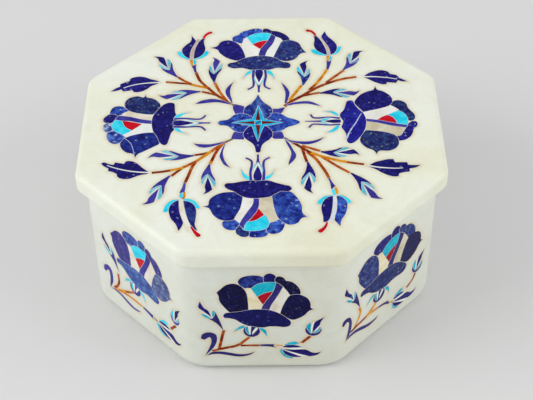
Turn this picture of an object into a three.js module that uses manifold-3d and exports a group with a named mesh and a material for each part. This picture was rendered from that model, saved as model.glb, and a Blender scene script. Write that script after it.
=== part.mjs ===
// Octagonal white marble keepsake box with a lift-off lid and flush stone inlay.
// Millimetres, +Z up. Origin: centre of the underside. -Y is the front, +X is to the right of it.
import * as THREE from 'three';
import { mergeVertices } from 'three/addons/utils/BufferGeometryUtils.js';
import Module from 'manifold-3d';

const wasm = await Module();
wasm.setup();

// ---------------------------------------------------------------- driving dimensions
const HEIGHT = 62.5;          // underside of the base to the top of the lid
const LID_FLATS = 127;        // lid, across the flats
const LID_THICK = 8.3;
const LID_CORNER = 6;         // plan radius of the lid's eight corners
const LID_EDGE = 2.4;         // rounding of the lid's top and bottom edge
const BASE_FLATS = 121.5;     // base, across the flats
const BASE_CORNER = 14;       // plan radius of the base's eight upright corners
const FOOT_EDGE = 3.9;        // rounding round the foot
const RIM_EDGE = 0.8;         // easing of the rim's two edges
const WALL = 6.5;
const FLOOR = 6.5;
const FLOOR_FILLET = 4;       // inside, where wall meets floor
const STEP_DEEP = 3;          // raised step under the lid, which keeps it in place
const STEP_CLEAR = 0.5;       // between that step and the walls
const STONE = 1.5;            // thickness of the inlaid stones
const JOINT = 0.3;            // cement joint round and under each inlay
const LID_PATTERN_X = -1.2;   // the lid's pattern sits a little left of centre
const EIGHTH = Math.PI / 4;
const SMOOTH = 0.02;          // points that stray less than this from a straight run are dropped

const RIM_Z = HEIGHT - LID_THICK;             // where the lid rests
const WALL_PATTERN_Z = RIM_Z / 2;             // height of the pattern's centre on a wall

// ---------------------------------------------------------------- lofted octagons
// One ring of an octagon with round corners: apothem a, corner radius r.
const octagon = (a, r, steps) => {
  const out = [];
  const reach = (a - r) / Math.cos(EIGHTH / 2);
  for (let k = 0; k < 8; k++) {
    const mid = EIGHTH * (k + 0.5);
    for (let i = 0; i <= steps; i++) {
      const t = EIGHTH * (k + i / steps);
      out.push([reach * Math.cos(mid) + r * Math.cos(t), reach * Math.sin(mid) + r * Math.sin(t)]);
    }
  }
  return out;
};

// A closed body from rings [z, apothem, corner radius], first and last ring capped.
const loft = (rings, steps) => {
  const position = [];
  const index = [];
  const n = 8 * (steps + 1);
  for (const [z, a, r] of rings) for (const [x, y] of octagon(a, r, steps)) position.push(x, y, z);
  for (let k = 0; k + 1 < rings.length; k++) {
    for (let i = 0; i < n; i++) {
      const a = k * n + i, b = k * n + ((i + 1) % n);
      index.push(a, b, b + n, a, b + n, a + n);
    }
  }
  const last = (rings.length - 1) * n;
  for (let i = 1; i + 1 < n; i++) {
    index.push(0, i + 1, i);
    index.push(last, last + i, last + i + 1);
  }
  const geometry = new THREE.BufferGeometry();
  geometry.setAttribute('position', new THREE.Float32BufferAttribute(position, 3));
  geometry.setIndex(index);
  return geometry;
};

// Quarter-round ring steps from [z0, a0] to [z1, a1]; the round leaves along a when first is 'a', else along z.
const quarter = (z0, a0, z1, a1, r0, steps, first) => {
  const out = [];
  for (let i = 0; i <= steps; i++) {
    const t = (Math.PI / 2) * (i / steps);
    const s = Math.sin(t), c = 1 - Math.cos(t);
    const z = z0 + (z1 - z0) * (first === 'a' ? c : s);
    const a = a0 + (a1 - a0) * (first === 'a' ? s : c);
    out.push([z, a, r0 + (a - Math.max(a0, a1))]);
  }
  return out;
};

// ---------------------------------------------------------------- solids
const solid = (geometry) => {
  const g = geometry.index ? geometry.clone() : geometry;
  g.deleteAttribute('normal');
  g.deleteAttribute('uv');
  const m = mergeVertices(g, 1e-4);
  return new wasm.Manifold(new wasm.Mesh({
    numProp: 3,
    vertProperties: new Float32Array(m.attributes.position.array),
    triVerts: new Uint32Array(m.index.array),
  }));
};

const geometryOf = (manifold) => {
  const mesh = manifold.asOriginal().simplify(SMOOTH).getMesh();
  const g = new THREE.BufferGeometry();
  const count = mesh.vertProperties.length / mesh.numProp;
  const position = new Float32Array(count * 3);
  for (let i = 0; i < count; i++) for (let k = 0; k < 3; k++) position[3 * i + k] = mesh.vertProperties[i * mesh.numProp + k];
  g.setAttribute('position', new THREE.BufferAttribute(position, 3));
  g.setIndex(new THREE.BufferAttribute(new Uint32Array(mesh.triVerts), 1));
  return g;
};

// ---------------------------------------------------------------- outlines of stones, in millimetres
const rotate = ([x, y], a) => [x * Math.cos(a) - y * Math.sin(a), x * Math.sin(a) + y * Math.cos(a)];

// A two-tipped blade from a to b, bulging by left and right (a negative bulge curves inwards).
const blade = (ax, ay, bx, by, left, right, n = 3, blunt = 1) => {
  const length = Math.hypot(bx - ax, by - ay);
  const nx = -(by - ay) / length, ny = (bx - ax) / length;
  const at = (t, d) => {
    const s = Math.pow(Math.sin(Math.PI * t), blunt) * d;
    return [ax + (bx - ax) * t + nx * s, ay + (by - ay) * t + ny * s];
  };
  const out = [[ax, ay]];
  for (let i = 1; i < n; i++) out.push(at(i / n, -right));
  out.push([bx, by]);
  for (let i = n - 1; i > 0; i--) out.push(at(i / n, left));
  return out;
};

// A round petal with a small point at the given angle.
const petal = (cx, cy, rx, ry, turn, tip, reach, n = 8) => {
  const out = [];
  for (let i = 0; i < n; i++) {
    const t = tip + (2 * Math.PI * i) / n;
    const k = i === 0 ? reach : 1;
    const [x, y] = rotate([rx * k * Math.cos(t), ry * k * Math.sin(t)], turn);
    out.push([cx + x, cy + y]);
  }
  return out;
};

// A fan from its narrow foot (two points) out to an arc round (cx, cy).
const fan = (footLeft, footRight, cx, cy, r, from, to, n) => {
  const out = [footLeft, footRight];
  for (let i = 0; i <= n; i++) {
    const t = from + ((to - from) * i) / n;
    out.push([cx + r * Math.cos(t), cy + r * Math.sin(t)]);
  }
  return out;
};

// A stem of even width along a few points.
const stem = (width, ...points) => {
  const left = [], right = [];
  points.forEach(([x, y], i) => {
    const [px, py] = points[Math.max(i - 1, 0)], [qx, qy] = points[Math.min(i + 1, points.length - 1)];
    const l = Math.hypot(qx - px, qy - py);
    const nx = (-(qy - py) / l) * (width / 2), ny = ((qx - px) / l) * (width / 2);
    left.push([x + nx, y + ny]);
    right.push([x - nx, y - ny]);
  });
  return [...right, ...left.reverse()];
};

const area = (p) => p.reduce((s, [x, y], i) => {
  const [u, v] = p[(i + 1) % p.length];
  return s + (x * v - u * y) / 2;
}, 0);

// The outline moved out by d all round, for the pocket that a stone sits in.
const grown = (outline, d) => {
  const p = area(outline) < 0 ? [...outline].reverse() : outline;
  return p.map(([x, y], i) => {
    const [ax, ay] = p[(i + p.length - 1) % p.length], [bx, by] = p[(i + 1) % p.length];
    const la = Math.hypot(x - ax, y - ay), lb = Math.hypot(bx - x, by - y);
    const n1 = [(y - ay) / la, -(x - ax) / la], n2 = [(by - y) / lb, -(bx - x) / lb];
    const k = 1 + n1[0] * n2[0] + n1[1] * n2[1];
    const reach = d / Math.max(k, 0.45);
    return [x + (n1[0] + n2[0]) * reach, y + (n1[1] + n2[1]) * reach];
  });
};

const plate = (outline, depth) => {
  const shape = new THREE.Shape(outline.map(([x, y]) => new THREE.Vector2(x, y)));
  const g = new THREE.ExtrudeGeometry(shape, { depth, bevelEnabled: false, steps: 1 });
  g.translate(0, 0, -depth);
  return g;
};

// Stones that touch, as one body, top face at z = 0 and going down; and the pocket for them.
const cluster = (outlines) => wasm.Manifold.union(outlines.map((o) => solid(plate(grown(o, 0), STONE))));
const pocket = (outlines) => wasm.Manifold.union(outlines.map((o) => {
  const g = plate(grown(o, JOINT), STONE + JOINT + 1);
  g.translate(0, 0, 1);
  return solid(g);
}));

const mirrored = (outlines, sx, sy) => outlines.map((o) => o.map(([x, y]) => [x * sx, y * sy]));
const turned = (outlines, angle) => outlines.map((o) => o.map((p) => rotate(p, angle)));
const moved = (outlines, dx, dy) => outlines.map((o) => o.map(([x, y]) => [x + dx, y + dy]));

// ---------------------------------------------------------------- the lid's pattern
const rad = (deg) => (deg * Math.PI) / 180;

// Star: four pointed petals and four square blocks between them.
const STAR_REACH = 14.6, STAR_PETAL = 5.2, BLOCK = 8.2;
const star = () => {
  const out = [];
  for (let k = 0; k < 4; k++) {
    const a = k * Math.PI / 2;
    out.push(...turned([blade(-2, 0, STAR_REACH, 0, STAR_PETAL, STAR_PETAL, 4)], a));
    out.push(...turned([stem(5.2, [2, 2], [BLOCK, BLOCK - 0.8])], a));
  }
  return out;
};

// Flower seen from the side, its calyx pointing to the middle of the lid: v runs out from the middle.
const FLOWER_NEAR = 29.6, FLOWER_FAR = 55.2, CALYX_TIP = 17.2;
const lidFlower = () => [
  blade(-11.8, 32.4, 11.8, 32.4, 5.4, 32.4 - FLOWER_NEAR, 3, 0.6),
  petal(-10.6, 41.4, 6.6, 6.6, 0, rad(168), 1.14, 7),
  petal(11, 41, 6.2, 6.2, 0, rad(-8), 1.12, 7),
  fan([-6, 35], [6, 35], 0.4, FLOWER_FAR - 12.8, 12.8, rad(30), rad(152), 5),
  blade(0, FLOWER_NEAR + 1, 0, CALYX_TIP, 1.1, 1.1, 2),
  blade(-1.6, FLOWER_NEAR + 1, -3.7, 18.6, -0.4, 1.9, 2),
  blade(1.6, FLOWER_NEAR + 1, 3.7, 18.6, 1.9, -0.4, 2),
];

// Sprays between the flowers, one for each diagonal: where each bud, tulip and leaf starts and ends.
const CORNERS = {
  back_right: { sx: 1, sy: 1, bud1: [15, 20.5, 17.2, 35], tulip: [25, 38.6], bud2: [30, 29.2, 38.2, 40.6], leaf: [36.8, 25.6, 53.6, 22.4], bud3: [21, 15.8, 35.6, 17.2] },
  back_left: { sx: -1, sy: 1, bud1: [17, 22.5, 18, 37.6], tulip: [26, 36.8], bud2: [30.6, 26, 40, 38.4], leaf: [36.4, 23.6, 54, 18.4], bud3: [21.8, 17.4, 37, 15.6] },
  front_left: { sx: -1, sy: -1, bud1: [17.6, 21.4, 19.4, 36.4], tulip: [26.4, 39], bud2: [30.8, 27, 39.4, 41], leaf: [38, 25.6, 55, 20.6], bud3: [23, 17, 39, 18] },
  front_right: { sx: 1, sy: -1, bud1: [15.6, 20.8, 17, 36.4], tulip: [24.4, 37.8], bud2: [30, 26.6, 40, 39.4], leaf: [36, 23, 54, 23], bud3: [20.2, 15.6, 33.6, 17.6] },
};
const STEM = 0.9;
const spray = ({ bud1, tulip, bud2, leaf, bud3 }) => {
  const [tx, ty] = tulip;
  return [
    stem(STEM, [9, 9.4], [14, 15], [19.4, 20], [24, 22.6], [leaf[0] - 2.2, leaf[1] - 0.4]),
    stem(STEM, [10.4, 11.4], [bud1[0], bud1[1] + 1]),
    stem(STEM, [17, 17.6], [tx - 3, ty - 13], [tx - 0.4, ty - 6], [tx, ty + 1]),
    stem(STEM, [23.4, 22.4], [bud2[0] + 0.6, bud2[1] + 0.8]),
    stem(STEM, [13.4, 13.8], [bud3[0] + 1, bud3[1]]),
    blade(...bud1, 1.9, 1.9),
    blade(...bud2, 1.9, 1.9),
    blade(...bud3, 1.9, 1.9),
    blade(tx, ty - 0.6, tx - 4.3, ty + 11.8, 3.4, -0.4, 3),
    blade(tx, ty - 0.6, tx - 0.7, ty + 14.4, -0.2, 4.4, 3),
    blade(9.6, 10, 7.4, 22.6, -0.5, 2.6, 2),
    blade(8.8, 9.4, 21.2, 9, 2.4, -0.5, 2),
  ];
};
const sprayLeaf = ({ leaf }) => [blade(...leaf, 4, 4.2, 4, 0.8)];

// ---------------------------------------------------------------- a wall's pattern
// x to the right along the wall as seen from outside, y up from the pattern's centre.
const wallFlower = () => [
  petal(-10, 10.4, 5, 7.2, 0, rad(160), 1.12, 7),
  petal(11.4, 6.3, 5, 6.2, rad(-18), rad(4), 1.12, 7),
  fan([-5.4, 3], [6, 1], 1.4, 10.2, 12.4, rad(16), rad(138), 5),
  blade(-13.4, 2, 9.6, -2.4, 4.6, 3.2, 4, 0.7),
  petal(-4, -5.8, 3, 3, 0, rad(90), 1, 6),
];
const wallSprig = () => [
  blade(-13.6, -5, -21.2, 9, 2.2, 2, 3),
  stem(1, [-14, -4.3], [-15.4, -15.8]),
  stem(2.2, [-20.7, -9.8], [-18.8, -7.4], [-16.8, -9.6], [-19.6, -18]),
  blade(-19.6, -17.6, -3.2, -17.2, 1, 1.8, 3),
  stem(1, [-18.6, -16.6], [-9.6, -13.8], [-5.3, -9.9]),
  stem(1, [-9, -13.6], [7.4, -13.7]),
  petal(10.2, -16.2, 4.4, 4, rad(-12), 0, 2.2, 7),
  stem(1, [11.2, -13.4], [16.6, -8]),
  petal(17, -5.6, 2.8, 3.2, 0, rad(60), 2.1, 5),
];

// ---------------------------------------------------------------- marble
const lidHalf = LID_FLATS / 2, baseHalf = BASE_FLATS / 2, insideHalf = baseHalf - WALL;
const insideCorner = BASE_CORNER - WALL;
const stepHalf = insideHalf - STEP_CLEAR;

const lidRings = [
  ...quarter(RIM_Z - STEP_DEEP, stepHalf - 1, RIM_Z - STEP_DEEP + 1, stepHalf, insideCorner, 1, 'a'),
  [RIM_Z, stepHalf, insideCorner],
  ...quarter(RIM_Z, lidHalf - LID_EDGE, RIM_Z + LID_EDGE, lidHalf, LID_CORNER, 2, 'a'),
  ...quarter(HEIGHT - LID_EDGE, lidHalf, HEIGHT, lidHalf - LID_EDGE, LID_CORNER, 2, 'z'),
];
const baseRings = [
  ...quarter(0, baseHalf - FOOT_EDGE, FOOT_EDGE, baseHalf, BASE_CORNER, 2, 'a'),
  ...quarter(RIM_Z - RIM_EDGE, baseHalf, RIM_Z, baseHalf - RIM_EDGE, BASE_CORNER, 1, 'z'),
];
const hollowRings = [
  ...quarter(FLOOR, insideHalf - FLOOR_FILLET, FLOOR + FLOOR_FILLET, insideHalf, insideCorner, 2, 'a'),
  [RIM_Z - RIM_EDGE, insideHalf, insideCorner],
  [RIM_Z + 0.2, insideHalf + RIM_EDGE + 0.2, insideCorner + RIM_EDGE + 0.2],
];

const place = (manifold, x, y, z) => manifold.translate([x, y, z]);

// ---------------------------------------------------------------- assembly
const box = new THREE.Group();
const MARBLE = { color: 0xf0eee0, roughness: 0.32, metalness: 0 };
const LAPIS = { color: 0x1d1b6e, roughness: 0.3, metalness: 0 };
const STEMSTONE = { color: 0x8e4a22, roughness: 0.35, metalness: 0 };

const add = (parent, name, manifold, look) => {
  const mesh = new THREE.Mesh(geometryOf(manifold), new THREE.MeshStandardMaterial(look));
  mesh.name = name;
  parent.add(mesh);
  return mesh;
};

// the lid's inlays
const lidInlays = [['lid_star', moved(star(), LID_PATTERN_X, 0), LAPIS]];
['back', 'left', 'front', 'right'].forEach((side, k) => {
  lidInlays.push([`lid_flower_${side}`, moved(turned(lidFlower(), (k * Math.PI) / 2), LID_PATTERN_X * 0.8, 0), LAPIS]);
});
for (const [corner, c] of Object.entries(CORNERS)) {
  lidInlays.push([`lid_spray_${corner}`, mirrored(spray(c), c.sx, c.sy), STEMSTONE]);
  lidInlays.push([`lid_leaf_${corner}`, mirrored(sprayLeaf(c), c.sx, c.sy), LAPIS]);
}
let lid = solid(loft(lidRings, 2));
for (const [, outlines] of lidInlays) lid = lid.subtract(place(pocket(outlines), 0, 0, HEIGHT));

const lidGroup = new THREE.Group();
add(lidGroup, 'lid', lid, MARBLE);
for (const [name, outlines, look] of lidInlays) add(lidGroup, name, place(cluster(outlines), 0, 0, HEIGHT), look);
box.add(lidGroup);

// the base and the inlays of its eight walls
const SIDES = ['right', 'back_right', 'back', 'back_left', 'left', 'front_left', 'front', 'front_right'];
const upright = (manifold, k) => {
  const out = new THREE.Matrix4().makeBasis(
    new THREE.Vector3(-Math.sin(k * EIGHTH), Math.cos(k * EIGHTH), 0),
    new THREE.Vector3(0, 0, 1),
    new THREE.Vector3(Math.cos(k * EIGHTH), Math.sin(k * EIGHTH), 0),
  );
  out.setPosition(baseHalf * Math.cos(k * EIGHTH), baseHalf * Math.sin(k * EIGHTH), WALL_PATTERN_Z);
  return manifold.transform(out.elements);
};
let base = solid(loft(baseRings, 2)).subtract(solid(loft(hollowRings, 2)));
const wallInlays = [['wall_flower', wallFlower(), LAPIS], ['wall_sprig', wallSprig(), STEMSTONE]];
const baseGroup = new THREE.Group();
SIDES.forEach((side, k) => {
  for (const [name, outlines, look] of wallInlays) {
    base = base.subtract(upright(pocket(outlines), k));
    add(baseGroup, `${name}_${side}`, upright(cluster(outlines), k), look);
  }
});
add(baseGroup, 'box_base', base, MARBLE);
box.add(baseGroup);

export default box;
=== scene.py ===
import math
import random

import bmesh
import bpy
import numpy as np
from mathutils import Matrix, Vector
from mathutils.geometry import delaunay_2d_cdt
from mathutils.kdtree import KDTree


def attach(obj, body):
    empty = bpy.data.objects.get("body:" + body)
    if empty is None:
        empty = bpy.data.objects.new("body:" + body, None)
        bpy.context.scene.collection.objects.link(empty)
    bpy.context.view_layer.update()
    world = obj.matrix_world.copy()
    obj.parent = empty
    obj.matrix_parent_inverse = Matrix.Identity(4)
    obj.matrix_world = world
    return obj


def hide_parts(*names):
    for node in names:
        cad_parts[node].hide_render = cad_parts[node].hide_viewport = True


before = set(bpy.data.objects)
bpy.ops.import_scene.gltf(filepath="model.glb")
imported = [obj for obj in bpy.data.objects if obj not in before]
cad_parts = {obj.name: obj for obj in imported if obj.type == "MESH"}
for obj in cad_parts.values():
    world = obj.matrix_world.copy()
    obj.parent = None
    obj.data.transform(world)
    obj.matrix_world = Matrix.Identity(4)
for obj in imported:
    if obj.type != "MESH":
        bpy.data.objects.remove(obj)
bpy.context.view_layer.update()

# ------------------------------------------------------------------ sizes, as in the CAD
HEIGHT = 62.5
LID_FLATS, LID_THICK, LID_CORNER, LID_EDGE = 127.0, 8.3, 6.0, 2.4
BASE_FLATS, BASE_CORNER, FOOT_EDGE, RIM_EDGE = 121.5, 14.0, 3.9, 0.8
WALL, FLOOR, FLOOR_FILLET = 6.5, 6.5, 4.0
STEP_DEEP, STEP_CLEAR = 3.0, 0.5
STONE = 1.5
PATTERN_X = -1.2
RIM_Z = HEIGHT - LID_THICK
WALL_Z = RIM_Z / 2
EIGHTH = math.pi / 4
SIDES = ["right", "back_right", "back", "back_left", "left", "front_left", "front", "front_right"]
rng = random.Random(11)


def rot(p, a):
    return (p[0] * math.cos(a) - p[1] * math.sin(a), p[0] * math.sin(a) + p[1] * math.cos(a))


# ------------------------------------------------------------------ outlines of stones
def smooth(points, sharp=(), step=0.45):
    """A closed curve through the points, with a corner at each index in sharp."""
    n = len(points)
    sharp = {i % n for i in sharp}
    out = []
    for i in range(n):
        p0, p1, p2, p3 = (np.array(points[(i + k) % n], float) for k in (-1, 0, 1, 2))
        length = float(np.linalg.norm(p2 - p1))
        m1 = (p2 - p0) / 2
        m2 = (p3 - p1) / 2
        if i in sharp:
            m1 = (p2 - p1) * 0.9 + (p2 - p1 - m2) * 0.35
        if (i + 1) % n in sharp:
            m2 = (p2 - p1) * 0.9 + (p2 - p1 - m1) * 0.35
        lim = 1.35 * length
        for m in (m1, m2):
            k = float(np.linalg.norm(m))
            if k > lim:
                m *= lim / k
        count = max(2, int(length / step))
        for j in range(count):
            t = j / count
            h = ((2 * t**3 - 3 * t**2 + 1) * p1 + (t**3 - 2 * t**2 + t) * m1
                 + (-2 * t**3 + 3 * t**2) * p2 + (t**3 - t**2) * m2)
            out.append((float(h[0]), float(h[1])))
    return out


def blade(a, b, left, right, n=None, blunt=1.0, lean=0.0):
    """A two-tipped blade from a to b, bulging by left and right; a negative bulge curves inwards."""
    ax, ay = a
    bx, by = b
    length = math.hypot(bx - ax, by - ay)
    n = n or max(6, int(length / 0.7))
    nx, ny = -(by - ay) / length, (bx - ax) / length

    def at(t, d):
        s = math.sin(math.pi * t ** (1 + lean)) ** blunt * d
        return (ax + (bx - ax) * t + nx * s, ay + (by - ay) * t + ny * s)

    out = [(ax, ay)] + [at(i / n, -right) for i in range(1, n)] + [(bx, by)]
    out += [at(i / n, left) for i in range(n - 1, 0, -1)]
    return out


def strip(points, w0, w1=None, round_end=False):
    """A stem along a smooth line through the points, w0 wide at its start and w1 at its end."""
    w1 = w0 if w1 is None else w1
    pts = [np.array(p, float) for p in points]
    line = []
    for i in range(len(pts) - 1):
        p0 = pts[i - 1] if i else 2 * pts[0] - pts[1]
        p1, p2 = pts[i], pts[i + 1]
        p3 = pts[i + 2] if i + 2 < len(pts) else 2 * pts[-1] - pts[-2]
        count = max(2, int(np.linalg.norm(p2 - p1) / 0.8))
        for j in range(count):
            t = j / count
            line.append(0.5 * (2 * p1 + (p2 - p0) * t + (2 * p0 - 5 * p1 + 4 * p2 - p3) * t * t
                               + (3 * p1 - p0 - 3 * p2 + p3) * t**3))
    line.append(pts[-1])
    left, right = [], []
    for i, p in enumerate(line):
        d = line[min(i + 1, len(line) - 1)] - line[max(i - 1, 0)]
        d = d / (np.linalg.norm(d) + 1e-9)
        w = (w0 + (w1 - w0) * i / (len(line) - 1)) / 2
        nrm = np.array([-d[1], d[0]]) * w
        left.append(tuple(p + nrm))
        right.append(tuple(p - nrm))
    cap = []
    if round_end:
        d = line[-1] - line[-2]
        d = d / np.linalg.norm(d)
        nrm = np.array([-d[1], d[0]])
        cap = [tuple(line[-1] + (w1 / 2) * (-math.cos(a) * nrm + math.sin(a) * d)) for a in np.linspace(0.4, math.pi - 0.4, 5)]
    return [(float(x), float(y)) for x, y in right + cap + left[::-1]]


def disc(cx, cy, rx, ry=None, turn=0.0, n=28):
    ry = rx if ry is None else ry
    out = []
    for i in range(n):
        t = 2 * math.pi * i / n
        x, y = rot((rx * math.cos(t), ry * math.sin(t)), turn)
        out.append((cx + x, cy + y))
    return out


def area(p):
    return sum(p[i][0] * p[(i + 1) % len(p)][1] - p[(i + 1) % len(p)][0] * p[i][1] for i in range(len(p))) / 2


def grown(p, d):
    """The outline moved out by d all round."""
    if area(p) < 0:
        p = p[::-1]
    out = []
    n = len(p)
    for i in range(n):
        a, b, c = np.array(p[i - 1]), np.array(p[i]), np.array(p[(i + 1) % n])
        e1, e2 = b - a, c - b
        e1 = e1 / (np.linalg.norm(e1) + 1e-9)
        e2 = e2 / (np.linalg.norm(e2) + 1e-9)
        n1, n2 = np.array([e1[1], -e1[0]]), np.array([e2[1], -e2[0]])
        k = 1 + float(n1 @ n2)
        q = b + (n1 + n2) * (d / max(k, 0.5))
        out.append((float(q[0]), float(q[1])))
    return out


# ------------------------------------------------------------------ the motifs, as lists of (stone, outline)
# Stone kinds: navy, lapis, royal, streak (deep to light blues), violet (plain blue), cyan, red, maroon,
# pearl, cream, brown, ochre.
def lid_flower(front="lapis", left="navy", right="lapis", crown_l="royal", crown_r="navy", panel_r="pearl", panel_l="white"):
    """The flower at the back, seen from the side, with its calyx towards the lid's middle."""
    s = []
    s.append((crown_l, smooth([(-9.8, 47.6), (-9.7, 49.9), (-7.4, 51.4), (-6.5, 53), (-4.2, 54.1), (-2.2, 55), (0, 55.2), (1.5, 54.2), (1.6, 51.4),
                               (-1.6, 50.6), (-4, 47.6), (-6.4, 46)], (0, 7, 8, 2, 4))))
    s.append((crown_r, smooth([(1.5, 53.4), (2, 55), (3.6, 54.9), (5, 53.7), (7.4, 53.2), (9.8, 51.6), (11.4, 49.4), (11.9, 46.6), (8.6, 45.6),
                               (7.4, 47.6), (5.6, 48.8), (4, 50), (2, 51)], (0, 7, 8, 3, 12))))
    s.append((panel_l, smooth([(-5.6, 48.6), (-4.2, 49.8), (-2.4, 45.6), (0.7, 42.4), (0, 38), (-4.4, 36.6), (-5.4, 38.6), (-6.3, 43.4)], (0, 1, 4, 5))))
    s.append((panel_r, smooth([(6.3, 50), (8.3, 48.8), (9, 46.4), (7.4, 41), (5.6, 37.4), (2.2, 37.8), (3.2, 41.4), (5.4, 45.8)], (0, 1, 4, 5))))
    s.append(("cyan", smooth([(-4.3, 49.6), (-2.4, 51.4), (0.6, 52.4), (3.8, 52.2), (4.9, 51.2), (3.6, 47.8), (0.6, 47), (-2.2, 45.3)], (0, 4, 5, 7))))
    s.append(("red", smooth([(-2.2, 45.3), (0.4, 47), (3.4, 47.7), (2.6, 45), (0.7, 42.4)], (0, 2, 4))))
    s.append(("violet", smooth([(4.8, 51.5), (6.4, 50), (5.4, 45.8), (3.2, 41.4), (2.3, 37.4), (-0.1, 37.6), (0.8, 42.4), (3.4, 47.4)], (0, 1, 4, 5))))
    s.append((left, smooth([(-5.2, 39), (-5, 35.6), (-8, 35.4), (-11.6, 37), (-14.4, 40), (-15.4, 42.2), (-17.9, 43.4), (-15.6, 44.4), (-14.2, 47),
                            (-11.4, 48), (-8.6, 46.6), (-6.6, 43.6)], (1, 6))))
    s.append((right, smooth([(5.4, 37), (7, 42), (8.6, 46.8), (11.8, 47.7), (15, 46), (16.3, 42.6), (17.8, 40), (15.6, 39.2), (13.6, 36.2), (11, 34.9), (8, 35.4)], (0, 6, 2))))
    s.append((front, smooth([(-11.4, 32.2), (-11, 33.8), (-8.2, 34.8), (-5.8, 36.6), (-2, 38), (2.4, 38.1), (6, 37), (8.6, 34.8), (11.2, 33.8), (11.8, 31.8),
                             (10.6, 30.6), (7, 30.9), (4, 29.9), (0.4, 29.4), (-3, 29.9), (-6, 31), (-9.4, 30.9)])))
    return s + calyx()


def calyx():
    """Two turquoise sepals, two strips with turned-out ends, a kite between light slivers and a spike."""
    return [
        ("cyan", smooth([(-1.4, 29.8), (-4.1, 28.6), (-5.7, 24.6), (-4.4, 26.8), (-2.6, 28)], (0, 2))),
        ("cyan", smooth([(2.2, 29.8), (4.7, 28.6), (5.9, 24), (4.6, 26.6), (3, 28)], (0, 2))),
        ("violet", strip([(-1.8, 29.8), (-2, 26), (-1.8, 22), (-2.2, 19.8), (-4, 18.4)], 1.05, 0.75)),
        ("violet", strip([(2.4, 29.8), (2.6, 26), (2.1, 22), (2.4, 19.9), (4.2, 18.6)], 0.95, 0.75)),
        ("cyan", smooth([(-1.6, 25.6), (-1.3, 23), (0, 20.6), (1.5, 23), (1.9, 25.6), (0.1, 22.4)], (0, 2, 4, 5))),
        ("pearl", smooth([(-1.3, 27.8), (-1.2, 24.4), (0, 21.2), (1.5, 24.4), (1.7, 27.8), (0.1, 23.4)], (0, 2, 4, 5))),
        ("navy", smooth([(-0.9, 29.9), (-1.3, 28), (-0.9, 25.6), (0.1, 22.4), (1.2, 25.6), (1.6, 28), (1.2, 29.9)], (0, 3, 6))),
        ("violet", smooth([(-0.7, 21.6), (-0.35, 19.4), (-0.3, 16.9), (0.4, 16.9), (0.45, 19.4), (0.8, 21.6), (0.1, 20.6)], (0, 2, 3, 5, 6))),
    ]


def left_flower():
    """The flower on the left, in the lid's own coordinates."""
    return [
        ("royal", smooth([(-46.9, 7.3), (-49.2, 9.2), (-51.4, 9.7), (-53, 8.9), (-53.7, 7.3), (-53.9, 5.2), (-51.4, 3.8), (-49.2, 5.4)], (0, 5, 6))),
        ("navy", smooth([(-53.8, 5.4), (-54.9, 4.4), (-55.9, 2.8), (-55.7, 1.2), (-54.4, 0.4), (-52.4, 0.6), (-50.8, 3.1), (-51.4, 4.7)], (0, 4, 5, 6))),
        ("streak", smooth([(-54.4, 0.6), (-55.5, -0.6), (-55.6, -2.3), (-55.1, -3.8), (-53.9, -4.7), (-51.4, -4.6), (-51.1, -0.7)], (0, 4, 5, 6))),
        ("mottled", smooth([(-53.9, -4.6), (-54.1, -6.2), (-53.7, -8.1), (-52.7, -9.8), (-50.8, -10.7), (-48.9, -9.9), (-47.1, -7.8), (-48.2, -5.2), (-51.1, -3.6)], (0, 6, 7, 8))),
        ("cream", smooth([(-49.5, 5.1), (-47.6, 6.7), (-38.3, 5.1), (-38, 0.9), (-46, 3.1)], (0, 1, 2, 3))),
        ("pearl", smooth([(-42.8, 0.2), (-38.2, 0.1), (-37.8, -4.6), (-42.8, -5.8), (-47.1, -7.1), (-48.7, -5.6), (-45.7, -3)], (0, 1, 2, 4, 5))),
        ("cyan", smooth([(-51.4, 2.5), (-52.5, 0.6), (-52.6, -1.7), (-51.2, -3.9), (-48.5, -5.8), (-45.2, -3.4), (-47.6, -1), (-49, 1.5)], (0, 4, 5, 7))),
        ("red", smooth([(-49.2, 1.7), (-45.7, 0.9), (-42.2, -0.2), (-45.4, -3.5), (-47.8, -1.7)], (0, 2, 3))),
        ("violet", smooth([(-51.4, 3.4), (-50.3, 4.4), (-46.6, 3.8), (-42.8, 2.5), (-38.3, 1.5), (-38.4, -0.2), (-42.8, 0.4), (-46.6, 1.5), (-49.2, 1.7), (-51.7, 2.3)], (0, 1, 4, 5, 9))),
        ("lapis", smooth([(-36, 9.2), (-36.7, 11.5), (-38.9, 13.7), (-41.2, 14.5), (-41.9, 16.1), (-42.4, 14.5), (-44.7, 15.2), (-47.3, 14.3), (-48.7, 12.4), (-48.9, 9.9), (-47.6, 7.6), (-45.3, 6.2), (-41.5, 5.2), (-38.6, 4.9), (-37, 7)], (4, 13, 0))),
        ("indigo", smooth([(-37.3, -5), (-35.6, -7.8), (-35.5, -10.7), (-37.3, -12.3), (-40.8, -14.8), (-42.6, -16.1), (-43.4, -18), (-44.1, -16), (-46.6, -15.1), (-48.5, -12.9), (-49, -10.3), (-47.8, -7.8), (-45, -6.2), (-40.8, -5)], (6, 0, 11))),
        ("hair", strip([(-47.8, -7.6), (-45.8, -9.8), (-44.7, -12.3), (-43.8, -16.2)], 0.22, 0.22)),
        ("navy", smooth([(-32.8, 11.4), (-31.2, 10.8), (-30.9, 8.3), (-30.6, 5.7), (-29.9, 3.8), (-30.1, 1.5), (-29.8, -0.6), (-30.6, -3.3), (-31.6, -5.2), (-32.2, -8.4), (-32.8, -11), (-33.9, -11.5), (-35.4, -10), (-36.4, -7.1), (-38, -3.9), (-38.7, 0.6), (-38.3, 4.4), (-36.4, 8.3), (-34.8, 10.5)], ())),
    ] + [(kind, [(-y + PATTERN_X, x) for x, y in o]) for kind, o in calyx()]


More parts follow.
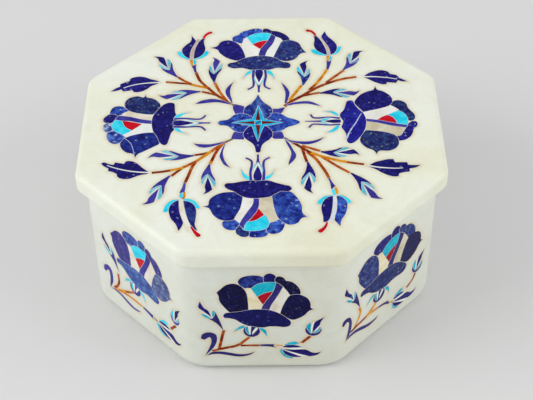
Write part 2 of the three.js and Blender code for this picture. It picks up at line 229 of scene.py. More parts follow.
def right_flower():
    """The flower on the right, in the lid's own coordinates."""
    return [
        ("lapis", smooth([(45.6, 8.4), (46.9, 10.7), (48.5, 11.5), (50.3, 11.1), (51.7, 9.7), (52.2, 7.3), (53.1, 5.6), (54.2, 3.6), (54.2, 1.5), (53.3, 0.2), (51, 0.4), (49.7, 3.1), (48.5, 5.4), (47.2, 6)], (0, 9, 10, 13))),
        ("navy", smooth([(52, -1), (53.1, -0.1), (54.4, -0.2), (54.9, -1.4), (54.4, -3), (53.3, -4.2), (52.8, -6.2), (51.7, -8.4), (49.7, -10), (47.8, -10.4), (45.9, -7.6), (48.5, -5.2), (50.5, -2.4)], (0, 9, 10, 12))),
        ("white", smooth([(35.6, 5.3), (45.9, 8.8), (48.8, 6.2), (44.6, 3.3), (41.2, 0.6), (36.6, 1)], (0, 1, 2, 5))),
        ("sand", smooth([(36.4, 0.9), (40.8, 0.1), (45.9, -1.5), (51, -2.6), (48.8, -7.1), (47.2, -7.8), (42.1, -6), (36.4, -5.1)], (0, 3, 4, 7))),
        ("cyan", smooth([(44.4, 3.3), (48.8, 5.8), (50.8, 3.9), (51.7, 0.9), (51.2, -2.4), (47.6, -1.6), (47.3, 0.6), (46.2, 2.4)], (0, 1, 4, 5))),
        ("red", smooth([(40.8, 0.8), (42.7, 2.4), (44.5, 3.4), (46.2, 2.4), (47.3, 0.4), (47.6, -1.7), (44, -0.5)], (0, 2, 5))),
        ("violet", smooth([(36.4, 1.5), (40.8, 0.8), (44.6, -0.3), (48.5, -1.5), (51.4, -2.1), (50.6, -3.4), (45.9, -2.4), (40.8, -0.7), (36.4, 0.2)], (0, 4, 5, 8))),
        ("navy", smooth([(36.2, 5.2), (34.7, 7.6), (33.4, 9.9), (33.7, 11.8), (35.6, 14.7), (38.2, 16.6), (40.4, 17.5), (41.3, 19.5), (42, 17.6), (44, 16.6), (45.9, 14.7), (46.9, 12.4), (46.7, 10.2), (45.3, 8.3), (42.1, 7), (38.8, 6)], (7, 0, 13))),
        ("lapis", smooth([(36.6, -4.7), (35, -7.1), (34.2, -9.7), (34.7, -11.9), (36.3, -13.9), (38.5, -15.3), (39.6, -17.4), (40.5, -15.6), (44, -15.5), (46.3, -14.2), (47.5, -11.9), (47.4, -9.1), (46.2, -7.1), (43.3, -5.8), (40.1, -5.1)], (6, 0, 12))),
        ("cobalt", smooth([(30.6, 11.1), (31.8, 11.7), (32.8, 11.3), (33.4, 9.2), (34.7, 6.7), (36.2, 4.4), (36.9, 0.9), (36.6, -2.6), (35.6, -5.8), (33.7, -9.1), (32.1, -11), (30.8, -11.6), (29.7, -10.7), (29.6, -7.8), (29.1, -5.2), (28.1, -3), (28.5, -1.4), (28.8, 0.4), (28.2, 1.8), (27.8, 3.1), (28.1, 4.7), (29.2, 6.3), (30, 8.9)], ())),
        ("hair", strip([(35.5, 4.5), (34.5, 2.4), (33.2, -0.7), (31.5, -3.9), (30.3, -6.8), (29.6, -9.1)], 0.32, 0.62)),
        ("cyan", smooth([(27.3, 3), (26.9, 4.5), (25.3, 5.7), (22.2, 5.7), (24.5, 5.1), (26, 3.8)], (0, 3))),
        ("cyan", smooth([(27.4, -1.4), (26.9, -3.6), (25.2, -5.3), (22.6, -5.7), (24.7, -4.2), (26.2, -2.4)], (0, 3))),
        ("violet", strip([(27.7, 1.9), (23.8, 2.4), (19.7, 2.1), (18.1, 2.5), (17.5, 4.1)], 0.95, 0.75)),
        ("violet", strip([(27.7, -1.4), (23.6, -1.7), (19.6, -1.2), (17.8, -1.4), (16.7, -3)], 0.8, 0.7)),
        ("pearl", smooth([(27.2, 1.3), (22.8, 2.1), (20.1, 0.4), (23.1, 1), (26.8, 0.8)], (0, 2, 4))),
        ("cyan", smooth([(24.4, 1.7), (22.2, 1.8), (19.9, 0.4), (22.2, -1), (23.8, -0.8), (21.5, 0.2)], (0, 2, 4))),
        ("navy", smooth([(27.9, 1.1), (25.4, 1.2), (21.9, 0.4), (25.1, -0.6), (27.9, -0.5)], (0, 2, 4))),
        ("violet", smooth([(20.8, 0.8), (15.4, 0.6), (15.4, 0.2), (20.8, -0.1), (21.3, 0.4)], (0, 1, 2, 3, 4))),
    ]


def front_flower():
    """The flower at the front, in the lid's own coordinates."""
    return [
        ("royal", smooth([(-8.8, -48.4), (-12.3, -49), (-12.9, -50.6), (-12.1, -52.4), (-10.3, -53.3), (-8.3, -53.2), (-6.2, -51.5)], (0, 5, 6))),
        ("lapis", smooth([(-8.4, -53), (-8.3, -54.7), (-6.8, -56.2), (-5, -56.4), (-4, -55.5), (-4, -53), (-7.1, -50.6)], (0, 4, 5, 6))),
        ("royal", smooth([(-4, -55.3), (-3.8, -56.5), (-0.9, -56.7), (1.3, -56.1), (2.1, -54.6), (2.1, -52.1), (-4, -52.1)], (0, 4, 5, 6))),
        ("royal", smooth([(1.9, -54.6), (3.5, -55.2), (5.7, -54.6), (7, -52.7), (7.4, -50.4), (6.5, -48.6), (3.5, -49.1), (1.2, -52.4)], (0, 5, 6, 7))),
        ("white", smooth([(-6.2, -36.5), (-1.5, -38.5), (-2.4, -42.7), (-5, -46.8), (-7.2, -50), (-9.6, -47.4), (-8.3, -45.6), (-7.2, -42.1)], (0, 1, 4, 5))),
        ("sand", smooth([(-1.7, -37.9), (4.1, -37.9), (4.4, -43.2), (4.9, -47.4), (4.7, -49), (2.4, -50), (0.5, -46.2), (-1.5, -43.4)], (0, 1, 4, 5))),
        ("cyan", smooth([(-4.7, -49), (-2.1, -48.7), (0.7, -46.2), (1.6, -47.4), (2.4, -49.9), (1.8, -52.1), (-0, -53.3), (-3, -53.7), (-5.3, -53.5), (-6.3, -52.7), (-5.5, -50.3)], (0, 2, 4, 9))),
        ("red", smooth([(-1.4, -43.1), (0.7, -46.4), (-2.1, -48.8), (-4.6, -49.3), (-3.1, -46.2)], (0, 1, 3))),
        ("violet", smooth([(-2.7, -38.5), (-0.9, -38.8), (-1.2, -43.2), (-3.2, -47.4), (-5.3, -50.3), (-5.9, -52.7), (-7.3, -51), (-6.8, -49.1), (-4.8, -45), (-3, -41.5)], (0, 1, 5, 6))),
        ("indigo", smooth([(-6.2, -36.5), (-7, -42.7), (-8.3, -46.2), (-9.3, -48.6), (-11.5, -49), (-13.9, -48.3), (-15.9, -46.2), (-16.8, -44.1), (-17.6, -42.9), (-19.5, -42.2), (-17.7, -41.6), (-17.4, -39.4), (-16.2, -37.5), (-13.1, -35.7), (-8.8, -35.5)], (9, 0, 3))),
        ("royal", smooth([(3.3, -36.5), (6.5, -35.1), (9.5, -35.5), (11.8, -38.5), (13.1, -42.1), (13.3, -45.5), (14.9, -47.6), (13, -48.1), (11.6, -50.3), (9.1, -51.1), (6.8, -49.7), (5.2, -47.4), (4.1, -43.2)], (6, 0))),
        ("navy", smooth([(-12.5, -32.3), (-11.8, -31.2), (-9.4, -31), (-7.1, -30.4), (-3.5, -29.8), (-0.6, -29.7), (2.4, -30), (5, -31.2), (7.7, -32.2), (9.4, -32.8), (10, -34.2), (8.8, -35.3), (6.5, -35.2), (4.7, -36.3), (2.4, -37.9), (-1.2, -38.5), (-4.7, -38.3), (-7.1, -37.1), (-9.1, -35.3), (-11.5, -33.9)], ())),
    ] + [(kind, [(-x + PATTERN_X, -y) for x, y in o]) for kind, o in calyx()]


def bud(a, b, side=1, petal="navy", calyx="violet", outer_a="ice", outer_b="ice", inner="pale"):
    """A bud from its foot a to its tip b: a forked blue calyx, thin light stones in the fork, and a hooked petal."""
    ax, ay = a
    length = math.hypot(b[0] - ax, b[1] - ay)
    ux, uy = (b[0] - ax) / length, (b[1] - ay) / length
    k = length / 16

    def curve(pts, sharp):
        return smooth([(ax + ux * y * k + uy * x * side, ay + uy * y * k - ux * x * side) for x, y in pts], sharp, 0.4)

    return [
        (calyx, curve([(-0.3, 0.2), (-0.35, 1.5), (-0.75, 3.2), (-1.2, 4.7), (-1.9, 6.2), (-2.7, 7.6), (-3.2, 9.4), (-2.3, 8.3), (-1.2, 6.9), (0, 5.4),
                       (0.85, 6.6), (1.75, 9), (1.95, 7.2), (1.8, 5.4), (1.4, 3.6), (0.9, 2), (0.4, 0.2)], (0, 6, 9, 11, 16))),
        (outer_a, curve([(-3.2, 11.6), (-3.3, 9.6), (-2.3, 8.4), (-1.1, 6.9), (0, 5.5), (-0.3, 7), (-1.6, 9), (-2.4, 10.6)], (0, 4))),
        (outer_b, curve([(1.0, 11), (1.6, 9.9), (1.75, 9.1), (0.85, 6.7), (0, 5.5), (0.25, 7.2), (0.7, 9.2)], (0, 2, 4))),
        (inner, curve([(-2.45, 12.7), (-2.3, 10.9), (-1.5, 9.1), (-0.2, 6.6), (-0.35, 8), (-1.2, 10.2)], (0, 3))),
        (inner, curve([(0.35, 12.2), (0.62, 10), (0.45, 7.9), (-0.1, 6.5), (-0.1, 8.2), (0, 10.4)], (0, 3))),
        (petal, curve([(-0.25, 6.9), (-0.95, 8.8), (-1.8, 10.9), (-2.6, 13.2), (-1.8, 14.4), (-0.9, 15.3), (0.1, 16), (-0.35, 14.8), (-0.4, 13.8), (0, 12.6), (0.1, 11), (-0.05, 9)], (0, 3, 6))),
    ]


TULIPS = {  # corner: (turquoise sepals, petals and the strip between them, red tip and its widths, the pieces below)
    "back_left": [
        ("cyan", [(-31.3, 41), (-31, 39.5), (-29.6, 37.7), (-26.9, 36.2), (-26.8, 37.6), (-28.2, 38.7), (-29.2, 40.1), (-30.1, 41.4)], (0, 3, 4, 7)),
        ("cyan", [(-19.6, 40.8), (-20.2, 38.9), (-22.1, 37.2), (-25, 36.2), (-25.1, 37.6), (-23.3, 38.7), (-22, 40.4), (-20.7, 41.6)], (0, 3, 4, 7)),
        ("rose", [(-24.2, 48.8), (-25.1, 46.2), (-26, 43.5), (-26.6, 40.4), (-26.7, 36.4), (-25.4, 36.4), (-25.1, 38.8), (-24.9, 41.6), (-24.5, 44), (-23.8, 46.4), (-23.1, 48.6)], (0, 4, 5, 10)),
        ("navy", [(-26.4, 51), (-25.3, 49.1), (-24.6, 47.8), (-25, 46.4), (-25.9, 43.8), (-26.5, 41), (-26.7, 36.9), (-28.3, 38.3), (-29.4, 40.2), (-29.7, 42.2), (-29.2, 43.9), (-28.1, 45.6), (-26.9, 47), (-26.4, 48.6)], (0, 2, 6)),
        ("navy", [(-22.5, 48.9), (-21, 49.8), (-21.5, 48.1), (-21.6, 46.8), (-21.25, 44.7), (-21, 42.6), (-21.5, 40.2), (-22.9, 38.1), (-25.1, 36.8), (-25.1, 39), (-24.9, 41.8), (-24.4, 44.4), (-23.6, 46.8)], (0, 1, 8)),
        ("red", [(-21.9, 49.2), (-21.3, 51), (-20.3, 52.3), (-19.3, 52.9)], (0.8, 1.45)),
        ("ochre", [(-26.5, 36.1), (-25.3, 36.1), (-25.3, 34.4), (-25.1, 32.7), (-25.8, 32.4), (-26.3, 34.3)], (0, 1, 3, 4)),
        ("cyan", [(-25.1, 36.2), (-24.5, 35.9), (-24, 34.8), (-24.4, 33.7), (-24.9, 33.2), (-25.2, 34.6)], (0, 4)),
        ("violet", [(-25.8, 32.5), (-24.9, 32.9), (-24.1, 33.6), (-24.1, 31.4), (-23.7, 28.6), (-24.5, 28.6), (-25.2, 31)], (0, 2, 4, 5)),
    ],
    "back_right": [
        ("cyan", [(18.7, 41.6), (19, 40.1), (20.5, 38.8), (23, 38), (24.5, 38), (23.8, 39.4), (22.2, 40), (20.8, 41.2), (19.9, 42)], (0, 4, 8)),
        ("cyan", [(30.1, 43.3), (29.7, 41.4), (28.6, 39.5), (27, 38.4), (25.9, 38.3), (27.1, 40.2), (28, 41.6), (28.8, 43.3)], (0, 4, 7)),
        ("rose", [(22.3, 49.2), (23.1, 47.4), (23.8, 45.2), (24.5, 42.2), (24.7, 37.9), (25.9, 37.9), (25.7, 41.6), (25.1, 44.1), (24, 46.8), (23.2, 49)], (0, 4, 5, 9)),
        ("navy", [(19.9, 50.6), (21.1, 50), (22, 48.5), (22.9, 46.4), (23.7, 43.9), (24.3, 41.4), (24.6, 38.5), (23, 39.2), (20.9, 41.2), (20, 43.5), (19.9, 45.6), (20.2, 47.7)], (0, 1, 6)),
        ("navy", [(24.3, 53), (24.7, 51.3), (25.4, 49.7), (26.8, 47.7), (28, 45.6), (28.5, 43.5), (28.2, 41.3), (27.2, 39.4), (25.9, 38.6), (25.7, 41.4), (25.1, 43.9), (24, 46.4), (23.3, 48.1), (22.9, 49.6), (23.3, 51)], (0, 8)),
        ("red", [(20.7, 50.3), (20, 52), (19, 53.2), (17.8, 53.6)], (0.8, 1.5)),
        ("ochre", [(24.35, 37.9), (25.4, 37.9), (25.3, 35.3), (24.7, 34.7), (24.3, 35.1)], (0, 1, 2, 4)),
        ("cyan", [(25.6, 37.9), (26.3, 37), (26.2, 35.7), (25.5, 35.1), (25.3, 36)], (0, 3)),
        ("violet", [(24.3, 35.1), (25.1, 34.5), (26.1, 35.3), (25.6, 32.6), (24.8, 29.8), (24, 29.8), (24.2, 32.4)], (0, 2, 4, 5)),
    ],
    "front_left": [
        ("cyan", [(-32.3, -44.6), (-32.1, -42.5), (-31.2, -40.4), (-29.6, -39.1), (-27.6, -38.6), (-28, -40.1), (-29.2, -40.9), (-30.1, -42.1), (-31, -44.6)], (0, 4, 8)),
        ("cyan", [(-20.4, -43.1), (-21, -41.2), (-22.5, -39.3), (-24.2, -38.5), (-26, -38.5), (-25.6, -39.9), (-23.7, -40.3), (-22.6, -41.4), (-21.8, -43)], (0, 4, 8)),
        ("cream", [(-27.5, -38.7), (-27.4, -41.7), (-26.9, -45), (-25.7, -48.6), (-24.9, -51.4), (-23.6, -53.4), (-23, -52.2), (-23.2, -50.4), (-24.2, -47.9), (-25, -45), (-25.6, -42), (-26.1, -38.7)], (0, 5, 11)),
        ("navy", [(-27.5, -39.1), (-27.4, -41.2), (-27.1, -44.2), (-26.5, -46.7), (-25.6, -49.6), (-26, -51.4), (-27, -53.4), (-27.5, -51.7), (-28.3, -49.8), (-29.6, -47.9), (-30.4, -45.4), (-30.6, -43.3), (-30, -41.2), (-28.7, -39.7)], (0, 4, 6)),
        ("mixed", [(-26, -39.4), (-24.2, -39.8), (-22.5, -41.2), (-21.7, -43.3), (-21.5, -45.8), (-21.7, -48.7), (-21.8, -50.8), (-20.8, -53.4), (-22.2, -52.4), (-23.2, -50.6), (-24.1, -48.3), (-24.8, -45.8), (-25.4, -42.9)], (0, 7)),
        ("red", [(-23, -51.4), (-22.3, -52.9), (-21.3, -54.5), (-20.5, -55.5)], (0.5, 1.55)),
        ("violet", [(-26.2, -30.7), (-25.5, -30.7), (-25.5, -32.9), (-25.7, -35.2), (-26.4, -35.4), (-27.1, -36.1), (-27.3, -35.2), (-26.6, -32.9)], (0, 1, 3, 5)),
        ("cyan", [(-27, -35.9), (-26.4, -35.5), (-26.2, -37), (-26.4, -38.4), (-27.1, -37.9), (-27.4, -36.8)], (1, 3)),
        ("ochre", [(-26.2, -35.4), (-25.5, -35.1), (-25.3, -37), (-25.6, -38.6), (-26.5, -38.6), (-26.1, -37)], (0, 1, 3, 4)),
    ],
    "front_right": [
        ("cyan", [(18.4, -41.4), (18.8, -39.8), (20.1, -38.4), (21.7, -37.6), (23.8, -37.3), (23.2, -38.7), (21.7, -39.4), (20.6, -40.5), (19.6, -41.7)], (0, 4, 8)),
        ("cyan", [(29.7, -40.8), (28.8, -39.2), (27.2, -37.8), (25.5, -37.3), (24.7, -37.4), (25.3, -38.7), (26.8, -39.2), (27.7, -40.4), (28.4, -41.5)], (0, 4, 8)),
        ("pale", [(23.7, -37.4), (23.5, -40.4), (23.2, -43.7), (22.7, -47), (21.9, -49.6), (23.2, -50), (23.9, -47.5), (24.5, -44.6), (24.8, -41.2), (24.8, -37.4)], (0, 4, 5, 9)),
        ("navy", [(23.6, -37.7), (21.7, -38.5), (20.3, -40.4), (19.6, -42.9), (19.7, -45.4), (20, -47.5), (20, -49.9), (20.9, -50.1), (22, -48.7), (22.7, -46.2), (23.2, -43.3), (23.5, -40.4)], (0, 6, 7)),
        ("royal", [(24.8, -37.9), (26.3, -38.1), (27.6, -39.6), (28.2, -41.2), (28, -43.7), (27.4, -46.2), (26.3, -48.3), (25.7, -50), (25.5, -51.9), (24.5, -50.5), (23.7, -49.2), (24, -47.1), (24.6, -44.6), (24.9, -41.2)], (0, 8, 10)),
        ("red", [(21.2, -50), (20.8, -51.6), (19.9, -53.1), (18.9, -54.1)], (0.5, 1.55)),
        ("violet", [(22.3, -29.2), (22.9, -29.1), (23.9, -31.6), (24.7, -33), (24, -33.7), (23.3, -34.7), (23.1, -33.5), (22.9, -31.3)], (0, 1, 3, 5)),
        ("cyan", [(23.3, -34.7), (24, -34.3), (24.5, -35.7), (24.6, -37.2), (23.9, -37.3), (23.4, -36)], (0, 3)),
        ("ochre", [(24.2, -33.8), (24.9, -33.5), (25.4, -36.1), (24.8, -37.2), (24.5, -35.5)], (0, 1, 3)),
    ],
}


def tulip(corner):
    """A tulip seen from the side, with a red tip, and the three small stones between it and its stem."""
    out = []
    for kind, points, how in TULIPS[corner]:
        out.append((kind, strip(points, *how, True) if kind == "red" else smooth(points, how)))
    return out


LEAVES = {  # outline of each saw-edged leaf, its sharp points and its midrib
    "back_left": (
        [(-36.75, 23.1), (-38.5, 24.25), (-40.5, 25), (-42.5, 26.1), (-44.5, 26.5), (-46.5, 26.2), (-47.75, 25.5), (-48.1, 24.75), (-48, 24.1), (-49.75, 23.25), (-51.4, 22.25), (-51.4, 20.75), (-53, 19.75), (-54.5, 18), (-52.25, 18.5), (-50.75, 19.25), (-50, 18), (-46.75, 18.6), (-46.25, 17.75), (-44.9, 17.5), (-43, 18.1), (-41.25, 19.5), (-40, 21), (-38.4, 21.9)],
        (0, 8, 10, 11, 13, 15, 16, 17, 18),
        [(-37, 23), (-40.5, 22.85), (-44.5, 22.25), (-48, 21.1), (-50, 20)],
    ),
    "back_right": (
        [(37.1, 25), (38.35, 26.25), (39.6, 27.4), (41.6, 28.4), (43.6, 28.9), (45.35, 28.65), (46.6, 27.9), (46.95, 27), (48.1, 26.4), (49.35, 26.1), (50, 25.25), (50.35, 24.25), (51.6, 23.5), (53.35, 22.1), (51.1, 22.3), (49.85, 23), (49, 21.4), (45.7, 21.75), (45.5, 20.75), (44.1, 20.65), (42.35, 21.4), (40.6, 22.5), (39.1, 23.75)],
        (0, 7, 9, 11, 13, 15, 16, 17, 18),
        [(37.1, 25.1), (39.6, 25.15), (42.6, 25), (46.6, 24.4), (49.4, 23.6)],
    ),
    "front_left": (
        [(-37.8, -25.6), (-39.3, -24.25), (-40.8, -22.75), (-42.3, -21), (-43.8, -19.9), (-45.55, -19.5), (-46.55, -19.9), (-46.95, -20.9), (-50.05, -20.25), (-50.45, -21.4), (-52.05, -21), (-53.8, -20.1), (-54.7, -20.7), (-53.8, -22), (-52.05, -23.25), (-52.05, -24.5), (-50.55, -25), (-49.05, -26), (-48.7, -27.25), (-47.8, -28.15), (-46.05, -28.6), (-44.3, -28.35), (-42.55, -27.4), (-40.8, -26.6), (-39.05, -26.25)],
        (0, 6, 7, 8, 9, 12, 14, 15, 17),
        [(-37.9, -25.5), (-40.8, -25.25), (-44.3, -24.75), (-47.8, -23.75), (-50.8, -22.6), (-52.6, -21.7)],
    ),
    "front_right": (
        [(36.1, -23.3), (38.55, -21.4), (40.8, -20.6), (43.05, -19.9), (45.05, -19.9), (45.55, -21.5), (49.55, -21.5), (49.8, -22.75), (51.55, -23), (53.9, -23), (52.5, -24.1), (50.05, -24.75), (50.05, -26.25), (48.3, -26.5), (46.4, -27.1), (46.05, -28.5), (44.55, -28.6), (42.8, -28), (40.8, -26.75), (39.05, -25.25), (37.55, -24.2)],
        (0, 4, 5, 6, 7, 9, 11, 12, 14, 15),
        [(35.9, -22.9), (38.3, -23.6), (41.3, -24.15), (45.3, -24.5), (47.8, -24.4)],
    ),
}


def leaf(corner):
    """A saw-edged leaf with a pale midrib."""
    outline, sharp, rib = LEAVES[corner]
    return [
        ("navy", smooth(outline, sharp)),
        ("pearl", strip(rib, 0.44, 0.14)),
    ]


CORNERS = {  # sx and sy mirror the buds; stems (stone, points, widths) and root leaves are in the lid's coordinates
    "back_right": dict(
        sx=1, sy=1, buds=(((15, 20.5), (17.2, 35), 1, "navy", "royal", "cyan"), ((30, 29.2), (38.2, 40.6), 1, "navy", "violet", "ice", "steel"), ((21, 15.8), (35.6, 17.2), -1, "violet", "navy")),
        stems=(("ochre", [(14.7, 20.6), (12.9, 17.3), (11, 13.8), (10, 11.8)], 1.1, 1.2), ("brown", [(21.4, 16.2), (18.5, 15.6), (14.6, 14.4)], 1.05, 1.15),
               ("brown", [(30.4, 29.1), (27.2, 25.7), (23.6, 22)], 1.05, 1.1), ("ochre", [(24.4, 30), (22.8, 26.5), (21.2, 23.4), (19.6, 20.8)], 1.05, 1.15), ("brown", [(19.6, 20.8), (17.4, 17.8)], 1.15, 1.15),
               ("brown", [(34.8, 25.1), (30.9, 24.3), (27.7, 23.2), (24.7, 21.8), (21.2, 19.8), (18, 17.4), (15.3, 15), (12.6, 12.9), (10.5, 11.2), (8.3, 8.8)], 1.15, 1.35)),
        roots=([(7.2, 22.4), (8.6, 20.5), (9.7, 18.4), (10.2, 16.2), (9.8, 13.5), (8.9, 10.4), (8.3, 10.6), (8.6, 13.5), (8.7, 16.2), (8.2, 18.9)],
               [(8.8, 9.3), (10.5, 10.5), (12.6, 11.1), (15.3, 11.5), (17.5, 11.3), (19.6, 10.1), (21.3, 8.6), (19.1, 9.3), (16.9, 10), (14.8, 10.1), (12.1, 9.8), (9.9, 9.2)])),
    "back_left": dict(
        sx=-1, sy=1, buds=(((17, 22.5), (18, 37.6), 1, "violet", "navy"), ((30.6, 26), (40, 38.4), 1, "navy", "violet"), ((21.8, 17.4), (37, 15.6), -1, "violet", "violet")),
        stems=(("russet", [(-17, 22.5), (-15.3, 17.9), (-13.7, 14.4), (-12.4, 12)], 1.05, 1.15), ("brown", [(-21.6, 17.5), (-19.1, 16.6), (-16.2, 15.4)], 1.05, 1.15),
               ("russet", [(-30.8, 26.3), (-28.8, 24.3), (-25.7, 22)], 1.05, 1.15), ("ochre", [(-25.9, 21.7), (-22.8, 20.6), (-18.7, 19.3)], 1.15, 1.25), ("brown", [(-34.8, 23.2), (-29.8, 22.5), (-25.4, 21.9)], 1.05, 1.1),
               ("brown", [(-24.1, 28.9), (-22.6, 24.3), (-20.7, 21.3), (-18.8, 18.8), (-16.6, 16), (-14.2, 13.5), (-12.6, 11.9), (-10.9, 10.4)], 1.1, 1.2), ("olive", [(-10.9, 10.4), (-9.6, 9.3)], 0.8, 0.8)),
        roots=([(-23.7, 10.6), (-21.8, 12.2), (-19.6, 13), (-17.7, 13.3), (-15.8, 13), (-13.7, 12.2), (-11.5, 10.9), (-10.6, 10), (-12.6, 10.5), (-14.8, 11.2), (-16.9, 11.4), (-19.1, 11.1), (-21.5, 10.7)],
               [(-10.1, 22.9), (-11.5, 21.1), (-12.6, 19.2), (-13, 17.3), (-12.5, 15.1), (-11.5, 13), (-10.3, 10.3), (-10.6, 13), (-11.1, 15.1), (-11.3, 17.8), (-10.9, 20.5)])),
    "front_left": dict(
        sx=-1, sy=-1, buds=(((17.6, 21.4), (19.4, 36.4), 1, "navy", "violet"), ((30.8, 27), (39.4, 41), 1, "violet", "violet"), ((23, 17), (39, 18), -1, "violet", "violet", "ice", "ice", "pearl")),
        stems=(("ochre", [(-17.6, -21.5), (-17.1, -20)], 1.05, 1.1), ("brown", [(-17.1, -20), (-15.9, -16.2), (-14.8, -13.6), (-13.6, -11.4)], 1.1, 1.15), ("brown", [(-23.1, -16.9), (-19.6, -16.2), (-17.2, -15.2)], 1.05, 1.15),
               ("brown", [(-30.5, -27.3), (-28.2, -24.7), (-26.4, -22.7)], 1.05, 1.1), ("brown", [(-25.8, -31), (-24.7, -27), (-23.7, -23.2), (-22.6, -20.4)], 1.05, 1.15),
               ("brown", [(-37.2, -25.6), (-33.6, -25.1), (-31, -24.5)], 1.05, 1.1), ("ochre", [(-31, -24.5), (-27.7, -23.6), (-26.4, -22.9)], 1.15, 1.15), ("russet", [(-26.4, -22.9), (-25, -22), (-22.3, -20)], 1.2, 1.2),
               ("ochre", [(-22.3, -20), (-20.1, -17.8), (-17.3, -15)], 1.2, 1.25), ("russet", [(-17.3, -15), (-15.3, -12.9), (-13.4, -11.1), (-12.5, -10.3)], 1.25, 1.15), ("olive", [(-12.5, -10.3), (-11.2, -9.4), (-9.9, -8.6)], 0.9, 0.8)),
        roots=([(-23.6, -10.8), (-21.2, -11.2), (-18, -11.3), (-15.3, -10.7), (-12.5, -9.8), (-13.7, -10.9), (-15.8, -12), (-18, -12.8), (-19.9, -13.1), (-21.8, -12.5)],
               [(-12.4, -10.5), (-12.9, -13), (-13.3, -15.7), (-12.9, -18.9), (-11.8, -21.6), (-10.6, -23.4), (-12.6, -22.1), (-13.7, -20), (-14.4, -17.6), (-14.1, -15.7), (-13.4, -13)])),
    "front_right": dict(
        sx=1, sy=-1, buds=(((15.6, 20.8), (17, 36.4), 1, "navy", "navy", "ice", "ice", "pearl"), ((30, 26.6), (40, 39.4), 1, "violet", "navy"), ((20.2, 15.6), (33.6, 17.6), -1, "navy", "navy", "ice", "ice", "pearl")),
        stems=(("brown", [(15.5, -21), (14.9, -18.4), (14.3, -15.2), (13.8, -13.4)], 1.05, 1.1), ("russet", [(20.2, -15.4), (16.9, -13.9), (13.9, -12.4)], 1.05, 1.15),
               ("russet", [(29.8, -26.6), (25.5, -23), (20.6, -18.3)], 1.05, 1.15), ("russet", [(22.7, -29.3), (21.8, -26.4), (20.2, -22.7), (18.3, -19), (15.7, -15.8)], 1.05, 1.25),
               ("brown", [(34.8, -22.4), (31.8, -21.8), (29.2, -21.2)], 1.05, 1.1), ("ochre", [(29.2, -21.2), (25.5, -20.1), (20.2, -17.9), (16.4, -15.8)], 1.15, 1.25),
               ("brown", [(16.9, -16.3), (13.7, -13.3), (10.8, -10.8)], 1.25, 1.1), ("dusk", [(10.8, -10.8), (7.9, -8.3)], 0.9, 0.8)),
        roots=([(8, -8.9), (9.7, -11.4), (10.7, -14.1), (11.8, -17), (11.3, -19.5), (9.1, -22.4), (9.4, -20.5), (9.9, -18.4), (10.2, -16.2), (9.7, -14.1), (8.8, -11.6)],
               [(8, -8.7), (11, -9.9), (13.2, -10.2), (15.9, -10.3), (18.5, -9.8), (21.8, -8.2), (20.2, -10), (18.5, -11.1), (16.4, -11.8), (14.2, -11.8), (12.1, -11.1), (9.9, -10.2)])),
}


def spray(corner, c):
    s = [(kind, strip(points, w0, w1)) for kind, points, w0, w1 in c["stems"]]
    for points in c["roots"]:
        tip = max(range(len(points)), key=lambda i: math.dist(points[i], points[0]))
        if math.hypot(*points[0]) > 18:
            tip = max(range(len(points)), key=lambda i: -math.hypot(*points[i]))
        s.append(("violet", smooth(points, (0, tip))))
    for foot, tip, side, *kinds in c["buds"]:
        s += [(kind, [(x * c["sx"], y * c["sy"]) for x, y in o]) for kind, o in bud(foot, tip, side, *kinds)]
    return s + tulip(corner)


def star():
    """The star in the middle: corner blocks, four petals, and a four-armed star with red kites over them."""
    s = []
    for block in ([(3, 3.2), (4.2, 7.6), (7, 7.4), (9.7, 8.2), (9, 6.4), (8, 4.6)], [(-3, 3.2), (-8, 4.6), (-8.9, 7.4), (-8.8, 10.3), (-5, 9), (-4.4, 6)],
                  [(-3, -3.2), (-8.4, -5), (-9.4, -8.6), (-5, -9), (-4.2, -6)], [(3, -3.2), (8.4, -5.2), (9.2, -8.8), (5.6, -8.8), (4.2, -7)]):
        s.append(("violet", smooth(block, range(len(block)), 0.8)))
    near = [(0, 0.6), (2.6, 3.5), (5, 4.9), (7, 5.05)]
    petals = [  # right, back, left, front: half widths along each
        ("royal", [(8.6, 4.2), (9.7, 3.2), (10.8, 2.4), (12.2, 1.9), (13.4, 1.3), (14.3, 0.7), (14.7, 0)]),
        ("mottled", [(8.6, 4.4), (9.7, 3.4), (10.8, 2.3), (12.2, 1.35), (13.8, 0.65), (15.4, 0)]),
        ("royal", [(8.6, 4.1), (9.7, 2.7), (10.8, 1.7), (12.2, 1.35), (13.2, 1.2), (13.8, 0.8), (14.1, 0)]),
        ("navy", [(8.6, 4.3), (9.7, 3.3), (10.8, 2.2), (12.2, 1.35), (14, 0.95), (15.4, 0.75), (15.9, 0)]),
    ]
    for k, (kind, far) in enumerate(petals):
        side = near + far
        pts = [(x, -y) for x, y in side] + [(x, y) for x, y in side[-2::-1]]
        s.append((kind, [rot(p, k * math.pi / 2) for p in smooth(pts, (0, len(pts) - 1))]))
    tips = (8.9, 9.8, 9.4, 10.3)
    outline = []
    for k in range(4):
        outline.append(rot((tips[k], 0), k * math.pi / 2))
        outline.append(rot((2, 2), k * math.pi / 2))
    s.append(("aqua", smooth(outline, range(8), 0.8)))
    for k in range(4):
        a = k * math.pi / 2
        s.append(("maroon", [rot(p, a) for p in smooth([(1.35, 0.85), (1.35, -0.85), (3.4, -0.6), (tips[k] - 1.6, 0), (3.4, 0.6)], (0, 1, 3), 0.6)]))
    s.append(("aqua", smooth([(-1.1, -1.1), (1.1, -1.1), (1.1, 1.1), (-1.1, 1.1)], (0, 1, 2, 3), 0.5)))
    s.append(("dark", strip([(-0.85, -0.85), (0.85, 0.85)], 0.5)))
    return s


